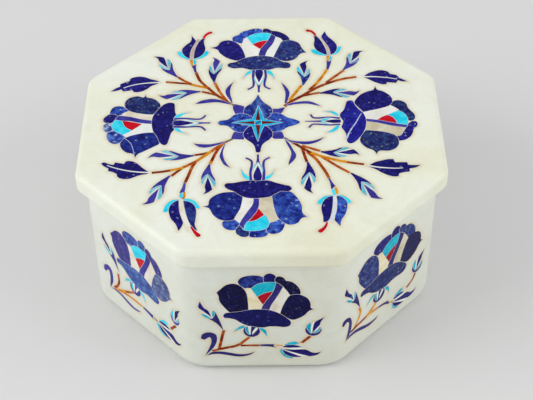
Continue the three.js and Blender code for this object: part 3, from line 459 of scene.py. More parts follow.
SPRIGS = {  # stems (stone, points, widths), the hooked strip, the low leaf and the bell at the stem's end, as they lie on the wall
    "front": dict(
        stems=(("russet", [(-13.4, -5.4), (-13.9, -7.6)], 1, 1.05), ("brown", [(-13.9, -7.6), (-14.6, -11.4), (-15.3, -15.2)], 1.05, 1.1), ("brown", [(-17.8, -16.4), (-13.4, -14.9), (-9.9, -13.9), (-8, -12.8)], 1.2, 1.15),
               ("russet", [(-8.3, -13.1), (-6.4, -11), (-4.8, -9.2)], 1.15, 1.05), ("brown", [(-7.9, -13.6), (-4.6, -13.6), (-1.3, -13.6)], 1, 1), ("ochre", [(3.9, -13.6), (6.6, -13.8)], 0.5, 0.5),
               ("ochre", [(11.4, -13.1), (13.1, -12.1)], 0.45, 0.55), ("brown", [(13.2, -12.4), (16.1, -9)], 1.1, 1.15)),
        hook=[(-21.4, -9.9), (-21.1, -7.9), (-19.6, -6.6), (-17.8, -6.6), (-16.3, -7.6), (-15.9, -9.7), (-16.3, -12.3), (-17.5, -15), (-20.3, -18.8), (-19.3, -16.2), (-18.4, -13.6), (-17.9, -11.5), (-18, -9.7), (-18.5, -9), (-19.2, -9.5), (-20.2, -10.3)],
        leaf=[(-19.7, -18.8), (-18.1, -17.1), (-16.3, -16.7), (-14, -16.8), (-11.6, -17.4), (-8.7, -18.2), (-6.3, -18.2), (-4.5, -17.7), (-3.1, -17), (-4.5, -18.5), (-6.9, -19.4), (-9.3, -19.5), (-12.2, -18.8), (-15.2, -18.1), (-17.5, -18.1)],
        bell=[(-1.2, -13.1), (1.4, -13), (3.8, -13.1), (3.5, -13.9), (4.3, -14.9), (2, -14.3), (-1.2, -14)]),
    "front_left": dict(
        stems=(("brown", [(-11.9, -5), (-11.9, -8.8), (-13, -11.9), (-15.3, -14.7)], 1, 1.1), ("ochre", [(-15.1, -15), (-12.2, -13.8), (-8.7, -11.8)], 1.2, 1.2), ("russet", [(-8.7, -11.8), (-5.7, -10), (-3.9, -8.6)], 1.15, 1.1),
               ("ochre", [(-11.9, -13.8), (-8.7, -13.1), (-5.1, -12.7), (-0.2, -12.9)], 1.05, 1), ("olive", [(6.2, -14), (8, -14.6)], 0.9, 0.7), ("brown", [(15.2, -12.7), (18, -8.9)], 1, 1.1)),
        hook=[(-20, -8.3), (-19.8, -6.2), (-18.4, -4.7), (-16.9, -4.5), (-15.6, -5.9), (-15.2, -8.5), (-15.5, -11.5), (-16.5, -14.1), (-17.6, -16.2), (-17.4, -14), (-17, -11.5), (-16.8, -9.1), (-17, -7.4), (-17.6, -6.9), (-18.2, -7.4), (-18.8, -8.6)],
        leaf=[(-17.3, -15.9), (-15.4, -15.2), (-12.8, -14.9), (-10.4, -15.4), (-7.5, -16.5), (-4.5, -17.2), (-1.1, -16.8), (-2.8, -17.9), (-5.1, -18.3), (-8.1, -17.7), (-11, -16.5), (-13.4, -15.9), (-15.7, -15.8)],
        bell=[(0.4, -12.4), (3.1, -12.7), (6.2, -13.2), (5.5, -14.4), (6.1, -15.5), (3.7, -14.4), (0.8, -13.4)]),
    "front_right": dict(
        stems=(("ochre", [(-14, -3.7), (-13.2, -6.7), (-14.6, -10.2), (-16.1, -12.4)], 1, 1.1), ("brown", [(-18, -13.2), (-14, -12.3), (-9.9, -11.6)], 1.15, 1.15), ("ochre", [(-9.9, -11.6), (-8.1, -10.6), (-5, -8.2)], 1.15, 1.05),
               ("ochre", [(-8.6, -11.4), (-5.7, -11.6), (-3.4, -11.9)], 1.05, 0.9), ("ochre", [(2.2, -14.1), (4.6, -15)], 0.9, 0.8), ("brown", [(12, -13.7), (14.9, -11.9), (16.4, -9.3)], 1.05, 1.1)),
        hook=[(-22.2, -6.9), (-21.9, -5), (-20.5, -4.1), (-19.1, -4.5), (-18, -6.1), (-17.5, -9.1), (-18, -12.6), (-19.3, -15.4), (-20.4, -16.2), (-19.9, -13.8), (-19.3, -10.9), (-19, -8.2), (-19.3, -6.7), (-20, -6.2), (-20.8, -6.7), (-21.5, -7.4)],
        leaf=[(-20.3, -15.9), (-18.7, -14.5), (-15.2, -14.2), (-12.2, -14.9), (-9.3, -16.1), (-6.3, -16.6), (-3.1, -16.3), (-4.5, -17.4), (-7.5, -17.9), (-10.4, -17.4), (-13.4, -16.3), (-16.3, -15.6), (-18.7, -15.7)],
        bell=[(-3.5, -11.5), (-0.6, -11.9), (1.9, -12.6), (2.5, -14.6), (1.2, -13.8), (-0.8, -12.9), (-3.5, -12.3)]),
}


def wall_motif(kinds, lines):
    """(flower, sprig, sprig's lines) for one wall: x to the right as seen from outside, y up from the pattern's centre."""
    front, left, right, crown_a, crown_b, crown_c, panel_l, panel_r, strip_kind, arch, middle = kinds
    f = [
        (crown_a, smooth([(-5.6, 15.4), (-7.4, 17), (-8.1, 18.9), (-6.8, 20.9), (-3.9, 21.8), (-1.2, 21.6), (0.7, 20.6), (0.7, 18.2), (-1.8, 17.6), (-3.9, 15.2)], (0, 6, 7, 9))),
        (crown_b, smooth([(0.6, 18.2), (0.3, 20.8), (1.1, 22.2), (2.5, 22.7), (3.9, 21.9), (4.5, 20.4), (4.7, 18), (2.6, 18.2)], (0, 6))),
        (crown_c, smooth([(4.5, 18), (4.1, 19.9), (5, 21.2), (6.6, 20.8), (7.7, 19.1), (9.8, 18.4), (11.7, 16.1), (12.5, 13.7), (12.3, 11.8), (9, 11.6), (8.3, 13.8), (6.6, 16.2)], (0, 4, 8, 9))),
        (panel_l, smooth([(-5.5, 15.6), (-3.8, 15.5), (-2, 11.4), (0.1, 7.4), (-0.6, 4.6), (-2.6, 4.6), (-5, 4.2), (-5, 9), (-5.3, 13)], (0, 1, 4, 6))),
        (panel_r, smooth([(6.6, 16.3), (9, 12), (8, 9.5), (6.3, 5.2), (5.7, 2.8), (4, 3.8), (2, 4.4), (2.8, 7), (4.4, 10.4), (5.8, 13.4)], (0, 1, 4, 6))),
        (arch, smooth([(-3.8, 15.5), (-1.8, 17.5), (1, 18.4), (4.5, 18.4), (4.1, 16), (3.4, 14), (0.6, 13.2), (-1.8, 11.3), (-2.8, 13.4)], (0, 3, 5, 7))),
        (middle, smooth([(-1.8, 11.3), (0.6, 13.1), (3.4, 14), (2.4, 11.8), (0.15, 7.4)], (0, 2, 4))),
        (strip_kind, smooth([(4.5, 18.3), (6.7, 16.3), (5.7, 13.6), (3.9, 9.6), (2.7, 7), (2, 4.4), (-0.6, 4.6), (0.15, 7.4), (2.5, 11.8), (3.7, 14.6)], (0, 1, 5, 6))),
        (left, smooth([(-4.9, 4.2), (-5, 9), (-5.4, 13), (-6.8, 16.2), (-9.3, 17.9), (-12, 17.3), (-14, 15.2), (-15.3, 13.6), (-14.7, 12), (-14.5, 9.6), (-13.1, 6.6), (-10.6, 3.2), (-7.6, 3.2)], (0, 7))),
        (right, smooth([(5.8, 2.8), (6.6, 6.4), (8.4, 11), (9.8, 12.2), (12.4, 12.2), (14.9, 10.4), (15.9, 7.8), (16, 5.7), (17.1, 4.9), (15.5, 4.1), (13.5, 1.5), (10.4, -0.3), (8.2, 0.6)], (0, 8))),
        (front, smooth([(-13.4, 2), (-12.6, 3.3), (-10.6, 3.7), (-8, 4), (-4.6, 4.9), (-1, 5.1), (2.4, 4.6), (5.4, 3), (8.2, 0.4), (9.4, -1.6), (8.9, -3.4), (7.2, -4.1), (4.6, -3.7),
                        (2, -3.7), (0, -4.2), (-2.8, -3.9), (-5, -3.3), (-7.4, -1.8), (-9.4, 0), (-11.6, 0.8), (-12.9, 0.9)])),
        (arch, smooth([(-6.6, -3), (-8.4, -3.9), (-10, -6.3), (-8.2, -5.1), (-6.2, -4)], (0, 2, 4))),
        (arch, smooth([(-0.9, -4.4), (0.8, -5.6), (1.3, -9), (0.2, -7), (-1.4, -5)], (0, 2, 4))),
        (strip_kind, smooth([(-6.2, -3.8), (-6.8, -6.2), (-5.8, -8.3), (-3.9, -9.1), (-2, -8.3), (-1.1, -6.4), (-1.6, -4.4), (-2.8, -3.9), (-4.4, -3.5)], (0, 7))),
        (arch, smooth([(-6, -3.9), (-5.2, -3.6), (-4.7, -8), (-5.8, -6.4)], (0, 1, 2))),
        ("pearl", smooth([(-5.1, -3.6), (-4.2, -3.6), (-4.5, -8), (-4.9, -6)], (0, 1, 2))),
        ("pearl", smooth([(-2.4, -4.2), (-1.9, -4.9), (-3.8, -7.8), (-3.4, -6)], (0, 1, 2))),
    ]
    g = [
        (arch, smooth([(-20.9, 3), (-19.4, 1.2), (-17.3, 0.2), (-18.4, 1.8), (-20, 2.9)], (0, 2))),
        ("pearl", smooth([(-20.4, 3.8), (-18.6, 2.2), (-17, 0.9), (-18.8, 3)], (0, 2))),
        ("pearl", smooth([(-18.8, 5.4), (-17.3, 2.8), (-16.9, 1), (-18.4, 3)], (0, 2))),
        (arch, smooth([(-16.8, 4.9), (-15.9, 3.3), (-16.5, 0.6), (-17.2, 2.4)], (0, 2))),
        ("navy", smooth([(-21, 9.2), (-21.7, 6.3), (-20.2, 4.6), (-17.4, 1.4), (-18.4, 4.6), (-19.8, 6.2)], (0, 3))),
        (strip_kind, smooth([(-16, 3.9), (-15, 0.6), (-14.2, -2.4), (-13.6, -5.6), (-14.8, -3.4), (-16.2, -1.4), (-18.4, 0.5), (-17.3, 0.6), (-16.5, 1.8)], (0, 3, 6))),
        (arch, smooth([(7, -13.7), (8.6, -12.4), (10.4, -11.8), (12, -12.2), (11.2, -13.4), (9, -13.4)], (0, 3))),
        (arch, smooth([(6.2, -15.2), (5.7, -17), (7, -19.4), (8.9, -20.6), (10.2, -20.6), (10, -19.6), (7.6, -18.4), (6.6, -16.4)], (0, 4, 5))),
        ("navy", smooth([(6.5, -14.6), (8.2, -13.6), (11, -13.7), (13.1, -14.6), (10, -15.1)], (0, 3))),
        ("pearl", smooth([(8, -15.3), (11, -15.1), (14, -15.6), (14.2, -16.1), (10.6, -15.9)], (0, 3))),
        ("navy", smooth([(6.7, -15.7), (10.4, -16.1), (14.4, -16.1), (16.6, -17.6), (18.5, -17.9), (19.9, -17.2), (18.6, -19), (15.8, -19.7), (12.2, -18.4), (9, -16.9)], (0, 5))),
        ("pearl", smooth([(8.4, -16.8), (11.6, -18.2), (15.2, -19.6), (14.4, -19.9), (10.6, -18.6)], (0, 2, 3))),
        ("navy", smooth([(6.5, -16), (9, -17.6), (13.1, -20), (10.2, -20), (7.5, -18.5)], (0, 2))),
        (strip_kind, smooth([(14.9, -3.4), (14.3, -5.4), (14.9, -7.6), (16.8, -8.8), (18.9, -8), (19.9, -5.8), (19.4, -4.4), (17, -5.2)], (0, 6))),
        (arch, smooth([(16, -1.9), (14.7, -4.2), (16.3, -7.6), (16.4, -4.4)], (0, 2))),
        ("pearl", smooth([(17.1, -1.2), (16.3, -4), (16.4, -7.6), (17.2, -4.2)], (0, 2))),
        ("ice", smooth([(19.8, -4.5), (18.7, -6.8), (16.9, -7.4), (18.4, -5.6)], (0, 2))),
        ("pearl", smooth([(19.2, -3.6), (18.4, -5.4), (16.9, -7.1), (18.2, -4.6)], (0, 2))),
        ("navy", smooth([(16.8, -7.2), (17, -4), (17.8, -1.4), (20.7, 0.7), (19.6, -1.4), (19.2, -3.2), (18.2, -4.8)], (0, 3, 5))),
    ]
    h = [(kind, strip(points, w0, w1)) for kind, points, w0, w1 in lines["stems"]]
    h.append((strip_kind, smooth(lines["hook"], (0, 8, 15))))
    n_ = len(lines["leaf"])
    far = max(range(n_), key=lambda i: lines["leaf"][i][0])
    h.append((strip_kind, smooth(lines["leaf"], (0, far))))
    h.append((strip_kind, smooth(lines["bell"], (0, 2, 4, 6))))
    return f, g, h


# ------------------------------------------------------------------ partition of a flat face into marble, cement and stones
def inside(points, poly):
    """Which of the points (n by 2) lie inside the polygon."""
    x, y = points[:, 0], points[:, 1]
    p = np.array(poly)
    q = np.roll(p, -1, axis=0)
    hit = np.zeros(len(points), bool)
    for (x1, y1), (x2, y2) in zip(p, q):
        if y1 == y2:
            continue
        cross = ((y1 > y) != (y2 > y)) & (x < (x2 - x1) * (y - y1) / (y2 - y1) + x1)
        hit ^= cross
    return hit


BARE = ("brown", "russet", "ochre", "olive", "maroon", "dark", "hair")  # set without a light line
LINE = 0.13  # half width of the cement line round a stone


HALO = 1.8  # how far the glue's colour reaches into the marble


def partition(border, stones, lines=()):
    """Splits the region inside border by the stones' outlines. stones is a list of (cluster, kind, outline), later ones on top.
    Returns vertices, triangles, a label for each (-1 marble, 2 * stone its cement, 2 * stone + 1 the stone), and how much glue shows at each vertex."""
    verts, edges = [], []

    def ring(poly, closed=True):
        base = len(verts)
        verts.extend(Vector(p) for p in poly)
        n = len(poly)
        for i in range(n if closed else n - 1):
            edges.append((base + i, base + (i + 1) % n))

    ring(border)
    for (x0, y0), (x1, y1) in lines:
        count = int(math.dist((x0, y0), (x1, y1)) / 0.8)
        ring([(x0 + (x1 - x0) * i / count, y0 + (y1 - y0) * i / count) for i in range(count + 1)], False)
    shapes = []
    for cluster, kind, outline in stones:
        o = outline if area(outline) > 0 else outline[::-1]
        g = o if kind in BARE else grown(o, LINE)
        shapes.append((g, o))
        ring(o)
        if g is not o:
            ring(g)
    dots = []
    for g, o in shapes:
        for i, a in enumerate(o):
            b = o[(i + 1) % len(o)]
            count = max(1, int(math.dist(a, b) / 0.3))
            dots.extend((a[0] + (b[0] - a[0]) * j / count, a[1] + (b[1] - a[1]) * j / count) for j in range(count))
    tree = KDTree(len(dots))
    for i, (x, y) in enumerate(dots):
        tree.insert((x, y, 0), i)
    tree.balance()
    lo, hi = np.min(border, axis=0), np.max(border, axis=0)
    free = []
    for row, y in enumerate(np.arange(lo[1] + 0.5, hi[1] - 0.4, 0.75)):
        for col, x in enumerate(np.arange(lo[0] + 0.5 + 0.4 * (row % 2), hi[0] - 0.4, 0.8)):
            d = tree.find((x, y, 0))[2]
            if 0.35 < d < HALO + 0.6 or (d >= HALO + 0.6 and row % 6 == 0 and col % 6 == 0):
                free.append((x, y))
    if free:
        spots = np.array(free)
        ok = inside(spots, grown(border[::-1] if area(border) < 0 else border, -0.4))
        for g, o in shapes:
            ok &= ~inside(spots, g)
        verts.extend(Vector(q) for q, good in zip(free, ok) if good)
    out = delaunay_2d_cdt(verts, edges, [], 1, 1e-4)
    v = np.array([tuple(p) for p in out[0]])
    glue = [max(0.0, 1 - tree.find((x, y, 0))[2] / HALO) ** 1.6 for x, y in v]
    tris = []
    for face in out[2]:
        for i in range(1, len(face) - 1):
            tris.append((face[0], face[i], face[i + 1]))
    tris = np.array(tris)
    a, b, c = v[tris[:, 0]], v[tris[:, 1]], v[tris[:, 2]]
    size = 0.5 * ((b[:, 0] - a[:, 0]) * (c[:, 1] - a[:, 1]) - (c[:, 0] - a[:, 0]) * (b[:, 1] - a[:, 1]))
    tris[size < 0] = tris[size < 0][:, ::-1]
    mid = (a + b + c) / 3
    label = np.full(len(tris), -1)
    for i, (g, o) in enumerate(shapes):
        for poly, value in ((g, 2 * i), (o, 2 * i + 1)):
            lo, hi = np.min(poly, axis=0), np.max(poly, axis=0)
            near = np.where(np.all((mid >= lo) & (mid <= hi), axis=1))[0]
            if len(near):
                hit = near[inside(mid[near], poly)]
                label[hit] = value
    return [(float(x), float(y)) for x, y in v], tris, label, glue


def boundary(tris):
    """The region's border edges, each in its own triangle's direction."""
    seen = {}
    for t in tris:
        for i in range(3):
            a, b = int(t[i]), int(t[(i + 1) % 3])
            if (b, a) in seen:
                del seen[(b, a)]
            else:
                seen[(a, b)] = True
    return list(seen)


class Solid:
    """Collects faces with a normal for each corner, and makes a mesh object of them."""

    def __init__(self):
        self.v, self.f, self.n, self.m, self.tone, self.glue, self.key = [], [], [], [], [], [], {}

    def vert(self, p, n, glue):
        k = (round(p[0], 4), round(p[1], 4), round(p[2], 4), round(n[0], 2), round(n[1], 2), round(n[2], 2))
        i = self.key.get(k)
        if i is None:
            i = self.key[k] = len(self.v)
            self.v.append((p[0] * 0.001, p[1] * 0.001, p[2] * 0.001))
            self.glue.append(glue)
        return i

    def face(self, points, normals=None, material=0, tone=0.0, glue=None):
        spots = [(round(p[0], 4), round(p[1], 4), round(p[2], 4)) for p in points]
        keep = [i for i in range(len(spots)) if spots[i] != spots[i - 1]]
        if len({spots[i] for i in keep}) < 3:
            return
        if normals is None:
            (ax, ay, az), (bx, by, bz), (cx, cy, cz) = (points[i] for i in keep[:3])
            bx, by, bz, cx, cy, cz = bx - ax, by - ay, bz - az, cx - ax, cy - ay, cz - az
            nx, ny, nz = by * cz - bz * cy, bz * cx - bx * cz, bx * cy - by * cx
            size = math.sqrt(nx * nx + ny * ny + nz * nz) + 1e-12
            normals = [(nx / size, ny / size, nz / size)] * len(points)
        self.f.append([self.vert(points[i], normals[i], glue[i] if glue else 0.0) for i in keep])
        self.n.extend(normals[i] for i in keep)
        self.m.append(material)
        self.tone.append(tone)

    def make(self, name, materials):
        me = bpy.data.meshes.new(name)
        me.from_pydata(self.v, [], self.f)
        for m in materials:
            me.materials.append(m)
        me.polygons.foreach_set("material_index", self.m)
        tone = me.attributes.new("tone", "FLOAT", "FACE")
        tone.data.foreach_set("value", self.tone)
        glue = me.attributes.new("glue", "FLOAT", "POINT")
        glue.data.foreach_set("value", self.glue)
        me.polygons.foreach_set("use_smooth", [True] * len(me.polygons))
        me.update()
        if len(self.n) == len(me.loops):
            me.normals_split_custom_set(self.n)
        else:
            print("loops differ", name, len(self.n), len(me.loops))
        ob = bpy.data.objects.new(name, me)
        bpy.context.scene.collection.objects.link(ob)
        return ob


# ------------------------------------------------------------------ materials
def srgb(r, g, b):
    def one(c):
        c /= 255
        return c / 12.92 if c <= 0.04045 else ((c + 0.055) / 1.055) ** 2.4
    return (one(r), one(g), one(b), 1.0)


def new_material(name):
    m = bpy.data.materials.new(name)
    m.use_nodes = True
    t = m.node_tree
    p = t.nodes["Principled BSDF"]
    return m, t, p


def node(t, kind, **values):
    n = t.nodes.new(kind)
    for k, v in values.items():
        if hasattr(n, k):
            setattr(n, k, v)
        else:
            n.inputs[k].default_value = v
    return n


def coords(t, spread=0.05):
    """Object coordinates, moved by a different amount for each stone."""
    tc = node(t, "ShaderNodeTexCoord")
    at = node(t, "ShaderNodeAttribute", attribute_name="tone")
    mul = node(t, "ShaderNodeMath", operation="MULTIPLY")
    mul.inputs[1].default_value = spread * 20
    t.links.new(at.outputs["Fac"], mul.inputs[0])
    comb = node(t, "ShaderNodeCombineXYZ")
    for i in range(3):
        t.links.new(mul.outputs[0], comb.inputs[i])
    add = node(t, "ShaderNodeVectorMath", operation="ADD")
    t.links.new(tc.outputs["Object"], add.inputs[0])
    t.links.new(comb.outputs[0], add.inputs[1])
    return add.outputs[0], at.outputs["Fac"]


def noise(t, vec, scale, detail=3.0, rough=0.55, distort=0.0):
    n = node(t, "ShaderNodeTexNoise")
    n.inputs["Scale"].default_value = scale
    n.inputs["Detail"].default_value = detail
    n.inputs["Roughness"].default_value = rough
    n.inputs["Distortion"].default_value = distort
    t.links.new(vec, n.inputs["Vector"])
    return n.outputs["Fac"]


def ramp(t, fac, stops, mode="LINEAR"):
    r = node(t, "ShaderNodeValToRGB")
    r.color_ramp.interpolation = mode
    els = r.color_ramp.elements
    while len(els) < len(stops):
        els.new(0.5)
    for e, (pos, col) in zip(els, stops):
        e.position = pos
        e.color = col if len(col) == 4 else (*col, 1)
    t.links.new(fac, r.inputs[0])
    return r.outputs["Color"]


def mix(t, fac, a, b, mode="MIX"):
    m = node(t, "ShaderNodeMix", data_type="RGBA", blend_type=mode)
    for sock, val in ((m.inputs[0], fac), (m.inputs[6], a), (m.inputs[7], b)):
        if hasattr(val, "is_output"):
            t.links.new(val, sock)
        else:
            sock.default_value = val
    return m.outputs[2]


def bump(t, height, p, strength, distance):
    b = node(t, "ShaderNodeBump")
    b.inputs["Strength"].default_value = strength
    b.inputs["Distance"].default_value = distance
    t.links.new(height, b.inputs["Height"])
    t.links.new(b.outputs[0], p.inputs["Normal"])


def stone(name, dark, mid, light, fleck=None, fleck_size=0.3, scale=900, rough=0.24, streak=0.0, gold=None, spread=(0.82, 1.18), shine=0.08):
    m, t, p = new_material(name)
    vec, tone = coords(t)
    a = noise(t, vec, scale, 5, 0.65, 0.4)
    col = ramp(t, a, [(0.36, dark), (0.5, mid), (0.66, light)])
    if streak:
        s = noise(t, vec, scale * 0.35, 4, 0.7, 1.8)
        s = ramp(t, s, [(0.5, (0, 0, 0)), (0.62, (streak, streak, streak))])
        col = mix(t, s, col, light)
    for colour, cells, few in ((fleck, 560, 0.62), (gold, 900, 0.5)):
        if colour:
            wob = node(t, "ShaderNodeVectorMath", operation="ADD")
            wn = node(t, "ShaderNodeTexNoise")
            wn.inputs["Scale"].default_value = 1500
            t.links.new(vec, wn.inputs["Vector"])
            ws = node(t, "ShaderNodeVectorMath", operation="SCALE")
            ws.inputs["Scale"].default_value = 0.0011
            t.links.new(wn.outputs["Color"], ws.inputs[0])
            t.links.new(vec, wob.inputs[0])
            t.links.new(ws.outputs[0], wob.inputs[1])
            vo = node(t, "ShaderNodeTexVoronoi")
            vo.inputs["Scale"].default_value = cells
            t.links.new(wob.outputs[0], vo.inputs["Vector"])
            near = ramp(t, vo.outputs["Distance"], [(fleck_size * 0.55, (1, 1, 1)), (fleck_size, (0, 0, 0))])
            sep = node(t, "ShaderNodeSeparateColor")
            t.links.new(vo.outputs["Color"], sep.inputs[0])
            some = ramp(t, sep.outputs[0], [(few, (0, 0, 0)), (1.0, (1, 1, 1))])
            col = mix(t, mix(t, 1.0, near, some, "MULTIPLY"), col, colour)
    # each stone a little lighter or darker than the next
    hsv = node(t, "ShaderNodeHueSaturation")
    mp = node(t, "ShaderNodeMapRange")
    mp.inputs["To Min"].default_value = spread[0]
    mp.inputs["To Max"].default_value = spread[1]
    t.links.new(tone, mp.inputs["Value"])
    t.links.new(mp.outputs[0], hsv.inputs["Value"])
    t.links.new(col, hsv.inputs["Color"])
    t.links.new(hsv.outputs[0], p.inputs["Base Color"])
    p.inputs["Roughness"].default_value = rough
    p.inputs["Specular IOR Level"].default_value = shine
    bump(t, a, p, 0.04, 0.0002)
    return m


def marble_material(name, cool, plain, warm, foot=1.0):
    """White marble with broad clouds of three tones; foot darkens it towards the bottom of the piece as painted shade.
    """
    m, t, p = new_material(name)
    tc = node(t, "ShaderNodeTexCoord")
    vec = tc.outputs["Object"]
    broad = noise(t, vec, 16, 4, 0.5, 0.8)
    col = ramp(t, broad, [(0.35, cool), (0.52, plain), (0.68, warm)])
    cloud = noise(t, vec, 70, 5, 0.6, 1.2)
    cl = ramp(t, cloud, [(0.4, (1, 1, 1)), (0.66, srgb(244, 243, 236)[:3])])
    col = mix(t, 0.5, col, cl, "MULTIPLY")
    grain = noise(t, vec, 1400, 3, 0.6)
    gr = ramp(t, grain, [(0.3, srgb(248, 248, 247)[:3]), (0.7, (1, 1, 1))])
    col = mix(t, 0.6, col, gr, "MULTIPLY")
    # painted shade: the colour is multiplied darker towards the foot, standing in for shade on the lower walls
    if foot < 1:
        sep = node(t, "ShaderNodeSeparateXYZ")
        t.links.new(vec, sep.inputs[0])
        painted_shade_rise = node(t, "ShaderNodeMapRange")
        painted_shade_rise.inputs["From Min"].default_value = 0.0
        painted_shade_rise.inputs["From Max"].default_value = 0.05
        t.links.new(sep.outputs["Z"], painted_shade_rise.inputs["Value"])
        col = mix(t, 1.0, col, ramp(t, painted_shade_rise.outputs[0], [(0.0, (foot, foot, foot)), (1.0, (1, 1, 1))]), "MULTIPLY")
    glue = node(t, "ShaderNodeAttribute", attribute_name="glue")
    patchy = ramp(t, noise(t, vec, 220, 3, 0.6), [(0.35, (0.25, 0.25, 0.25)), (0.6, (0.8, 0.8, 0.8))])
    amount = mix(t, 1.0, patchy, glue.outputs["Color"], "MULTIPLY")
    col = mix(t, amount, col, srgb(222, 202, 160))
    t.links.new(col, p.inputs["Base Color"])
    p.inputs["Roughness"].default_value = 0.33
    p.inputs["Specular IOR Level"].default_value = 0.35
    bump(t, noise(t, vec, 300, 4, 0.6), p, 0.03, 0.0003)
    return m


